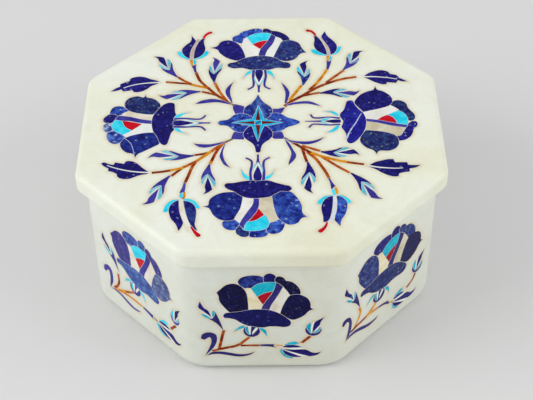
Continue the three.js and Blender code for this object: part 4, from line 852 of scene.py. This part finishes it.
EVEN = (0.96, 1.03)
M = {
    "navy": stone("lapis_navy", srgb(16, 10, 84), srgb(24, 18, 112), srgb(40, 42, 142), srgb(140, 150, 190), 0.3, 650),
    "lapis": stone("lapis_flecked", srgb(22, 24, 84), srgb(32, 44, 120), srgb(56, 84, 134), srgb(120, 140, 150), 0.32, 480, gold=srgb(126, 122, 84)),
    "ink": stone("lapis_ink", srgb(6, 3, 52), srgb(8, 6, 68), srgb(20, 20, 92), srgb(66, 70, 92), 0.3, 640, gold=srgb(86, 82, 54)),
    "deep": stone("lapis_deep", srgb(10, 8, 70), srgb(14, 14, 92), srgb(24, 28, 118), srgb(90, 100, 150), 0.28, 600),
    "slate": stone("lapis_slate", srgb(12, 12, 74), srgb(24, 36, 118), srgb(50, 74, 158), srgb(110, 130, 176), 0.34, 420, streak=0.4),
    "soft": stone("lapis_soft", srgb(48, 42, 118), srgb(62, 56, 138), srgb(82, 78, 158), srgb(130, 134, 190), 0.28, 520, spread=(0.92, 1.08)),
    "grey": stone("lapis_grey", srgb(56, 66, 132), srgb(82, 98, 154), srgb(122, 138, 178), srgb(170, 184, 204), 0.36, 380, gold=srgb(140, 138, 96), spread=(0.92, 1.08)),
    "sky": stone("lapis_blue", srgb(46, 66, 142), srgb(64, 98, 176), srgb(104, 136, 202), srgb(150, 174, 216), 0.36, 380, spread=(0.92, 1.08)),
    "cobalt": stone("lapis_cobalt", srgb(20, 16, 118), srgb(28, 26, 146), srgb(44, 52, 170), srgb(140, 156, 206), 0.3, 620, spread=(0.92, 1.08)),
    "indigo": stone("lapis_indigo", srgb(16, 20, 98), srgb(24, 38, 130), srgb(44, 66, 158), srgb(110, 136, 176), 0.32, 460, spread=(0.92, 1.08)),
    "teal": stone("turquoise_deep", srgb(0, 164, 194), srgb(8, 184, 212), srgb(50, 200, 222), None, 0, 300, 0.3, spread=EVEN),
    "wine": stone("red_coral_deep", srgb(142, 0, 20), srgb(168, 2, 28), srgb(186, 12, 38), None, 0, 300, 0.26, spread=EVEN),
    "honey": stone("honey_stone", srgb(230, 216, 164), srgb(240, 230, 186), srgb(248, 242, 214), None, 0, 180, 0.3, spread=EVEN, shine=0.2),
    "royal": stone("lapis_royal", srgb(14, 18, 98), srgb(32, 56, 156), srgb(66, 108, 200), srgb(150, 175, 222), 0.34, 420, streak=0.55),
    "mottled": stone("lapis_mottled", srgb(18, 24, 104), srgb(34, 56, 150), srgb(96, 130, 204), srgb(190, 204, 230), 0.4, 340, streak=0.5),
    "dusk": stone("dark_strip_stone", srgb(38, 30, 104), srgb(46, 40, 118), srgb(58, 54, 134), None, 0, 300, 0.28, spread=(0.88, 1.1)),
    "streak": stone("lapis_streaked", srgb(40, 54, 132), srgb(78, 106, 180), srgb(160, 186, 222), srgb(222, 232, 242), 0.4, 380, streak=1),
    "violet": stone("blue_strip_stone", srgb(50, 44, 142), srgb(60, 56, 156), srgb(72, 72, 168), None, 0, 300, 0.28, spread=(0.88, 1.1)),
    "aqua": stone("deep_turquoise", srgb(0, 168, 218), srgb(8, 190, 236), srgb(50, 210, 246), None, 0, 300, 0.3, spread=EVEN),
    "dark": stone("dark_blue_stone", srgb(16, 14, 60), srgb(22, 20, 80), srgb(34, 34, 100), None, 0, 500, spread=EVEN),
    "hair": stone("pale_vein", srgb(168, 180, 222), srgb(190, 200, 232), srgb(214, 222, 242), None, 0, 500, spread=EVEN),
    "cyan": stone("turquoise", srgb(26, 206, 238), srgb(44, 222, 250), srgb(84, 234, 254), None, 0, 300, 0.3, spread=EVEN),
    "red": stone("red_coral", srgb(182, 0, 22), srgb(204, 2, 32), srgb(220, 16, 44), None, 0, 300, 0.26, spread=EVEN),
    "maroon": stone("dark_red_stone", srgb(86, 8, 14), srgb(110, 12, 18), srgb(134, 22, 26), None, 0, 300, 0.28, spread=EVEN),
    "pearl": stone("mother_of_pearl", srgb(236, 244, 242), srgb(246, 250, 246), srgb(252, 254, 250), None, 0, 240, 0.2, spread=EVEN, shine=0.3),
    "cream": stone("cream_stone", srgb(224, 214, 190), srgb(238, 232, 216), srgb(248, 246, 236), None, 0, 180, 0.3, spread=EVEN, shine=0.2),
    "white": stone("white_stone", srgb(226, 224, 214), srgb(240, 240, 232), srgb(250, 250, 246), None, 0, 120, 0.3, spread=EVEN, shine=0.2),
    "sand": stone("sand_stone", srgb(204, 194, 160), srgb(220, 212, 184), srgb(234, 228, 206), None, 0, 160, 0.3, spread=EVEN, shine=0.2),
    "ice": stone("pale_turquoise", srgb(78, 180, 204), srgb(104, 200, 218), srgb(150, 216, 226), None, 0, 260, 0.3, spread=(0.92, 1.05)),
    "steel": stone("grey_blue_stone", srgb(74, 108, 166), srgb(92, 130, 186), srgb(122, 158, 204), None, 0, 260, 0.3, spread=EVEN),
    "mixed": stone("lapis_clouded", srgb(18, 18, 92), srgb(26, 28, 118), srgb(54, 78, 152), srgb(130, 160, 186), 0.36, 260, streak=0.7),
    "pale": stone("pale_shell", srgb(200, 214, 222), srgb(220, 230, 234), srgb(236, 242, 244), None, 0, 260, 0.22, spread=(0.86, 1.05), shine=0.3),
    "rose": stone("rose_stone", srgb(196, 170, 160), srgb(212, 190, 182), srgb(226, 210, 202), None, 0, 240, 0.3, spread=EVEN, shine=0.2),
    "brown": stone("red_brown_jasper", srgb(104, 24, 0), srgb(146, 50, 6), srgb(196, 104, 34), None, 0, 330, 0.32),
    "olive": stone("olive_stone", srgb(96, 88, 58), srgb(118, 108, 74), srgb(140, 130, 94), None, 0, 300, 0.3, spread=EVEN),
    "russet": stone("orange_brown_jasper", srgb(138, 48, 4), srgb(188, 88, 12), srgb(218, 132, 34), None, 0, 330, 0.32, spread=(0.9, 1.05)),
    "ochre": stone("ochre_jasper", srgb(192, 104, 0), srgb(226, 146, 8), srgb(240, 176, 48), None, 0, 330, 0.32, spread=(0.9, 1.05)),
    "cement": stone("cement", srgb(204, 200, 192), srgb(218, 215, 206), srgb(230, 228, 220), None, 0, 400, 0.6, spread=EVEN),
}
KINDS = list(M)
LID_MARBLE = marble_material("lid_marble", srgb(250, 254, 242), srgb(249, 252, 232), srgb(246, 245, 220))
# painted shade: the base's marble is a darker, greyer copy of the lid's so that the walls read darker than the lid, and
# its foot value 0.93 paints shade towards the bottom
BASE_MARBLE_SHADED = marble_material("base_marble", srgb(241, 245, 236), srgb(239, 243, 231), srgb(236, 238, 223), 0.93)


# ------------------------------------------------------------------ octagon rings
def octagon(a, r, steps):
    """Ring of an octagon with round corners: (x, y, normal angle)."""
    out = []
    reach = (a - r) / math.cos(EIGHTH / 2)
    for k in range(8):
        mid = EIGHTH * (k + 0.5)
        for i in range(steps + 1):
            t = EIGHTH * (k + i / steps)
            out.append((reach * math.cos(mid) + r * math.cos(t), reach * math.sin(mid) + r * math.sin(t), t))
    return out


def band(sol, profile, steps):
    """Lofts rings (z, apothem, corner radius, outward tilt of the normal from level), smooth along and around."""
    for (z0, a0, r0, e0), (z1, a1, r1, e1) in zip(profile, profile[1:]):
        p, q = octagon(a0, r0, steps), octagon(a1, r1, steps)
        n = len(p)
        for i in range(n):
            j = (i + 1) % n

            def nn(t, e):
                return (math.cos(t) * math.cos(e), math.sin(t) * math.cos(e), math.sin(e))

            ring = [(p[i], z0, e0), (p[j], z0, e0), (q[j], z1, e1), (q[i], z1, e1)]
            sol.face([(w[0], w[1], z) for w, z, e in ring], [nn(w[2], e) for w, z, e in ring])


def quarter(z0, a0, z1, a1, r0, e0, e1, steps):
    """Quarter round from (z0, a0) to (z1, a1); the normal's tilt goes from e0 to e1."""
    out = []
    for i in range(steps + 1):
        e = e0 + (e1 - e0) * i / steps
        if abs(math.sin(e0)) > abs(math.sin(e1)):  # starts flat, ends upright
            s, c = abs(math.cos(e)), 1 - abs(math.sin(e))
        else:
            s, c = 1 - abs(math.cos(e)), abs(math.sin(e))
        a = a0 + (a1 - a0) * s
        z = z0 + (z1 - z0) * c
        out.append((z, a, r0 + (a - max(a0, a1)), e))
    return out


HALF_PI = math.pi / 2


def inlays(clusters, v, tris, label, stones, place, normal, depth):
    """Adds each labelled region as a prism to its cluster's solid. place(x, y, d) is the point d mm under the face."""
    order = np.argsort(label, kind="stable")
    lab = label[order]
    starts = np.flatnonzero(np.r_[True, lab[1:] != lab[:-1]])
    ends = np.r_[starts[1:], len(lab)]
    for s, e in zip(starts, ends):
        value = int(lab[s])
        if value < 0:
            continue
        cluster, kind, _ = stones[value // 2]
        sol = clusters[cluster]
        mat = KINDS.index(kind if value % 2 else "cement")
        tone = sol_tone(value // 2)
        part = tris[order[s:e]]
        for t in part:
            pts = [(v[i][0], v[i][1]) for i in t]
            sol.face([place(x, y, 0) for x, y in pts], [normal(x, y) for x, y in pts], mat, tone)
            sol.face([place(x, y, depth) for x, y in pts[::-1]], None, mat, tone)
        for a, b in boundary(part):
            pa, pb = v[a], v[b]
            sol.face([place(pa[0], pa[1], 0), place(pa[0], pa[1], depth), place(pb[0], pb[1], depth), place(pb[0], pb[1], 0)], None, mat, tone)


tones = {}


def sol_tone(i):
    if i not in tones:
        tones[i] = random.Random(977 + i).random()
    return tones[i]


def marble_face(sol, v, tris, label, glue, place, normal, depth):
    """The marble round the inlays, with the pockets that hold them."""
    for t, value in zip(tris, label):
        pts = [(v[i][0], v[i][1]) for i in t]
        if value < 0:
            sol.face([place(x, y, 0) for x, y in pts], [normal(x, y) for x, y in pts], glue=[glue[i] for i in t])
        else:
            sol.face([place(x, y, depth) for x, y in pts])
    for a, b in boundary(tris[label >= 0]):
        pa, pb = v[a], v[b]
        sol.face([place(pb[0], pb[1], 0), place(pb[0], pb[1], depth), place(pa[0], pa[1], depth), place(pa[0], pa[1], 0)])


def finish_piece(ob, slot, *nodes):
    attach(ob, "root")
    if nodes:
        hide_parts(*nodes)
    return ob


# ------------------------------------------------------------------ lid
CORNER_STEPS = 8
lid_stones = []


def put(cluster, stones, fn):
    for kind, outline in stones:
        lid_stones.append((cluster, kind, [fn(p) for p in outline]))


put("lid_star", star(), lambda p: (p[0] + PATTERN_X, p[1]))
put("lid_flower_back", lid_flower(), lambda p: (p[0] + PATTERN_X * 0.8, p[1]))
put("lid_flower_left", left_flower(), lambda p: p)
put("lid_flower_front", front_flower(), lambda p: p)
put("lid_flower_right", right_flower(), lambda p: p)
for corner, c in CORNERS.items():
    put("lid_spray_" + corner, spray(corner, c), lambda p: p)
    put("lid_leaf_" + corner, leaf(corner), lambda p: p)

half = LID_FLATS / 2
TOP_IN = half - LID_EDGE
ring = [(x, y) for x, y, t in octagon(TOP_IN, LID_CORNER - LID_EDGE, CORNER_STEPS)]
v, tris, label, glue = partition(ring, lid_stones)
lid = Solid()
place_top = lambda x, y, d: (x, y, HEIGHT - d)
up = lambda x, y: (0, 0, 1)
marble_face(lid, v, tris, label, glue, place_top, up, STONE + 0.1)
clusters = {name: Solid() for name in {s[0] for s in lid_stones}}
inlays(clusters, v, tris, label, lid_stones, place_top, up, STONE)

base_half = BASE_FLATS / 2
inside_half = base_half - WALL
step_half = inside_half - STEP_CLEAR
inside_corner = BASE_CORNER - WALL
band(lid, quarter(RIM_Z, half - LID_EDGE, RIM_Z + LID_EDGE, half, LID_CORNER, -HALF_PI, 0, 6)
     + quarter(HEIGHT - LID_EDGE, half, HEIGHT, half - LID_EDGE, LID_CORNER, 0, HALF_PI, 8), CORNER_STEPS)
# underside: the flat ring, the step's side and its face
under = octagon(TOP_IN, LID_CORNER - LID_EDGE, CORNER_STEPS)
STEP_EASE = 1.0
step_ring = octagon(step_half, inside_corner, CORNER_STEPS)
n = len(under)
for i in range(n):
    j = (i + 1) % n
    lid.face([(step_ring[i][0], step_ring[i][1], RIM_Z), (step_ring[j][0], step_ring[j][1], RIM_Z), (under[j][0], under[j][1], RIM_Z), (under[i][0], under[i][1], RIM_Z)])
bottom_z = RIM_Z - STEP_DEEP
band(lid, quarter(bottom_z, step_half - STEP_EASE, bottom_z + STEP_EASE, step_half, inside_corner, -HALF_PI, 0, 4) + [(RIM_Z, step_half, inside_corner, 0)], CORNER_STEPS)
cap = octagon(step_half - STEP_EASE, inside_corner - STEP_EASE, CORNER_STEPS)
lid.face([(x, y, bottom_z) for x, y, t in cap][::-1])
finish_piece(lid.make("lid_marble", [LID_MARBLE]), "marble", "lid")
for name, sol in sorted(clusters.items()):
    ob = sol.make(name + "_stones", [M[k] for k in KINDS])
    finish_piece(ob, "stem_stone_inlay" if "spray" in name else "blue_stone_inlay", name)

# ------------------------------------------------------------------ base
BASE_STEPS = 12
FLAT = (base_half - BASE_CORNER) * math.tan(EIGHTH / 2)  # half width of a wall's flat part
ARC = BASE_CORNER * EIGHTH / 2
HIGH, LOW = RIM_Z - RIM_EDGE - WALL_Z, FOOT_EDGE - WALL_Z
LOOKS_WALL = {  # front petal, left and right petals, crown from left to right, panels, strips, arch, its red middle
    "front": ("deep", "ink", "ink", "slate", "deep", "ink", "honey", "cream", "dusk", "teal", "wine"),
    "front_left": ("sky", "soft", "grey", "mottled", "sky", "soft", "cream", "cream", "violet", "cyan", "red"),
    "front_right": ("lapis", "lapis", "dark", "navy", "navy", "lapis", "honey", "sand", "dusk", "teal", "wine"),
    "right": ("navy", "navy", "lapis", "royal", "royal", "navy", "cream", "pearl", "violet", "cyan", "red"),
    "back_right": ("indigo", "royal", "lapis", "navy", "royal", "navy", "sand", "pearl", "dusk", "cyan", "red"),
    "back": ("navy", "lapis", "indigo", "royal", "navy", "navy", "cream", "pearl", "dusk", "teal", "red"),
    "back_left": ("cobalt", "navy", "lapis", "mottled", "royal", "navy", "white", "cream", "violet", "cyan", "red"),
    "left": ("navy", "lapis", "navy", "slate", "navy", "lapis", "cream", "white", "dusk", "cyan", "red"),
}


def eased(t):
    t = min(max(t, 0), 1)
    return t * t * (3 - 2 * t)


def shift(side, flower, p):
    """Where a point of the pattern lies on this wall: no two walls were laid out quite alike."""
    x, y = p
    if side == "front_left":
        return (x + 1 - 0.05 * x, y - 0.2 - 0.07 * x) if flower else (x + 1.4 - 0.07 * x + 1.2 * eased((x - 2) / 5) * eased((22 - x) / 10), y + 0.8 - 0.08 * x + 1.1 * eased((x - 3) / 9))
    if side == "front_right":
        if flower:
            return (x + 0.6 + 0.07 * x, y + 0.8 + 0.03 * x)
        return (x - 2.2 * eased((x - 2) / 6) * eased((-9 - y) / 4), y + 0.8 - 0.07 * x)
    return (x, y)


base = Solid()
for k, side in enumerate(SIDES):
    theta = k * EIGHTH

    def surface(x, d, theta=theta):
        """Point and normal angle at distance x along the wall's outline, d mm in."""
        if abs(x) <= FLAT:
            n_, px, py = 0.0, base_half, x
        else:
            s_ = 1 if x > 0 else -1
            n_ = s_ * (abs(x) - FLAT) / BASE_CORNER
            px = base_half - BASE_CORNER + BASE_CORNER * math.cos(n_)
            py = s_ * FLAT + BASE_CORNER * math.sin(n_)
        px -= d * math.cos(n_)
        py -= d * math.sin(n_)
        return (*rot((px, py), theta), n_ + theta)

    def place_wall(x, y, d, surface=surface):
        px, py, _ = surface(x, d)
        return (px, py, WALL_Z + y)

    def out_wall(x, y, surface=surface):
        a_ = surface(x, 0)[2]
        return (math.cos(a_), math.sin(a_), 0)

    flower, sprig, lines_ = wall_motif(LOOKS_WALL[side], SPRIGS.get(side, SPRIGS["front"]))
    wall_stones = [("wall_sprig_" + side, kind, o) for kind, o in lines_]
    wall_stones += [("wall_sprig_" + side, kind, [shift(side, False, q) for q in o]) for kind, o in sprig]
    wall_stones += [("wall_flower_" + side, kind, [shift(side, True, q) for q in o]) for kind, o in flower]
    xs = [s_ * (FLAT + ARC * i / (BASE_STEPS / 2)) for s_ in (-1, 1) for i in range(int(BASE_STEPS / 2) + 1)]
    xs = sorted(xs)
    border = [(x, LOW) for x in xs] + [(x, HIGH) for x in xs[::-1]]
    lines = [[(x, LOW), (x, HIGH)] for x in xs[1:-1]]
    v, tris, label, glue = partition(border, wall_stones, lines)
    marble_face(base, v, tris, label, glue, place_wall, out_wall, STONE + 0.1)
    clusters = {name: Solid() for name in {s[0] for s in wall_stones}}
    inlays(clusters, v, tris, label, wall_stones, place_wall, out_wall, STONE)
    for name, sol in sorted(clusters.items()):
        ob = sol.make(name + "_stones", [M[k_] for k_ in KINDS])
        finish_piece(ob, "stem_stone_inlay" if "sprig" in name else "blue_stone_inlay", name)

band(base, quarter(0, base_half - FOOT_EDGE, FOOT_EDGE, base_half, BASE_CORNER, -HALF_PI, 0, 8), BASE_STEPS)
band(base, quarter(RIM_Z - RIM_EDGE, base_half, RIM_Z, base_half - RIM_EDGE, BASE_CORNER, 0, HALF_PI, 4), BASE_STEPS)
foot = octagon(base_half - FOOT_EDGE, BASE_CORNER - FOOT_EDGE, BASE_STEPS)
base.face([(x, y, 0) for x, y, t in foot][::-1])
rim_out = octagon(base_half - RIM_EDGE, BASE_CORNER - RIM_EDGE, BASE_STEPS)
rim_in = octagon(inside_half + RIM_EDGE, inside_corner + RIM_EDGE, BASE_STEPS)
n = len(rim_out)
for i in range(n):
    j = (i + 1) % n
    base.face([(rim_in[i][0], rim_in[i][1], RIM_Z), (rim_out[i][0], rim_out[i][1], RIM_Z), (rim_out[j][0], rim_out[j][1], RIM_Z), (rim_in[j][0], rim_in[j][1], RIM_Z)])


def inner(profile):
    """The same loft, facing inwards."""
    for (z0, a0, r0, e0), (z1, a1, r1, e1) in zip(profile, profile[1:]):
        p, q = octagon(a0, r0, BASE_STEPS), octagon(a1, r1, BASE_STEPS)
        for i in range(len(p)):
            j = (i + 1) % len(p)

            def nn(t, e):
                return (-math.cos(t) * math.cos(e), -math.sin(t) * math.cos(e), math.sin(e))

            ring = [(p[i], z0, e0), (q[i], z1, e1), (q[j], z1, e1), (p[j], z0, e0)]
            base.face([(w[0], w[1], z) for w, z, e in ring], [nn(w[2], e) for w, z, e in ring])


inner(quarter(FLOOR, inside_half - FLOOR_FILLET, FLOOR + FLOOR_FILLET, inside_half, inside_corner, HALF_PI, 0, 6)
      + [(RIM_Z - RIM_EDGE, inside_half, inside_corner, 0)])
inner([(RIM_Z - RIM_EDGE * (1 - math.sin(a_)), inside_half + RIM_EDGE * (1 - math.cos(a_)), inside_corner + RIM_EDGE * (1 - math.cos(a_)), a_)
       for a_ in np.linspace(0, HALF_PI, 5)])
floor_ring = octagon(inside_half - FLOOR_FILLET, inside_corner - FLOOR_FILLET, BASE_STEPS)
base.face([(x, y, FLOOR) for x, y, t in floor_ring])
finish_piece(base.make("base_marble", [BASE_MARBLE_SHADED]), "marble", "box_base")

# ------------------------------------------------------------------ floor, light, camera
me = bpy.data.meshes.new("table")
bm = bmesh.new()
bmesh.ops.create_grid(bm, x_segments=2, y_segments=2, size=3.0)
bm.to_mesh(me)
bm.free()
table = bpy.data.objects.new("table", me)
table.location = (0, 0, 0)
bpy.context.scene.collection.objects.link(table)
m, t, p = new_material("table_grey")
p.inputs["Base Color"].default_value = srgb(230, 230, 230)
p.inputs["Roughness"].default_value = 0.9
me.materials.append(m)

world = bpy.data.worlds.new("studio")
bpy.context.scene.world = world
world.use_nodes = True
bg = world.node_tree.nodes["Background"]
bg.inputs["Color"].default_value = (1, 1, 1, 1)
bg.inputs["Strength"].default_value = 0.56


def lamp(name, where, target, size, power, color=(1, 1, 1)):
    data = bpy.data.lights.new(name, "AREA")
    data.shape = "SQUARE"
    data.size = size
    data.energy = power
    data.color = color
    ob = bpy.data.objects.new(name, data)
    ob.location = where
    ob.rotation_euler = (Vector(target) - Vector(where)).to_track_quat("-Z", "Y").to_euler()
    bpy.context.scene.collection.objects.link(ob)
    return ob


lamp("key", (-0.953, -0.255, 0.665), (0, 0, 0.03), 0.8, 5.4)
lamp("fill", (0.92, -0.247, 0.55), (0, 0, 0.03), 0.8, 3.3)
lamp("top", (0, 0.1, 1.1), (0, 0, 0.03), 0.9, 0.4)

cam_data = bpy.data.cameras.new("camera")
cam_data.sensor_width = 36
cam_data.sensor_fit = "HORIZONTAL"
cam_data.lens = 88.60
cam_data.clip_start = 0.01
cam = bpy.data.objects.new("camera", cam_data)
bpy.context.scene.collection.objects.link(cam)
pitch, yaw, roll = (math.radians(a_) for a_ in (43.919, -0.168, -0.692))
fwd = Vector((math.sin(yaw) * math.cos(pitch), math.cos(yaw) * math.cos(pitch), -math.sin(pitch)))
right = fwd.cross(Vector((0, 0, 1))).normalized()
upv = right.cross(fwd)
r2 = math.cos(roll) * right + math.sin(roll) * upv
u2 = -math.sin(roll) * right + math.cos(roll) * upv
cam.matrix_world = Matrix((
    (r2.x, u2.x, -fwd.x, 0.00248),
    (r2.y, u2.y, -fwd.y, -0.35192),
    (r2.z, u2.z, -fwd.z, 0.30093 + HEIGHT / 1000),
    (0, 0, 0, 1)))
bpy.context.scene.camera = cam
bpy.context.scene.view_settings.view_transform = "Standard"

bpy.context.view_layer.update()
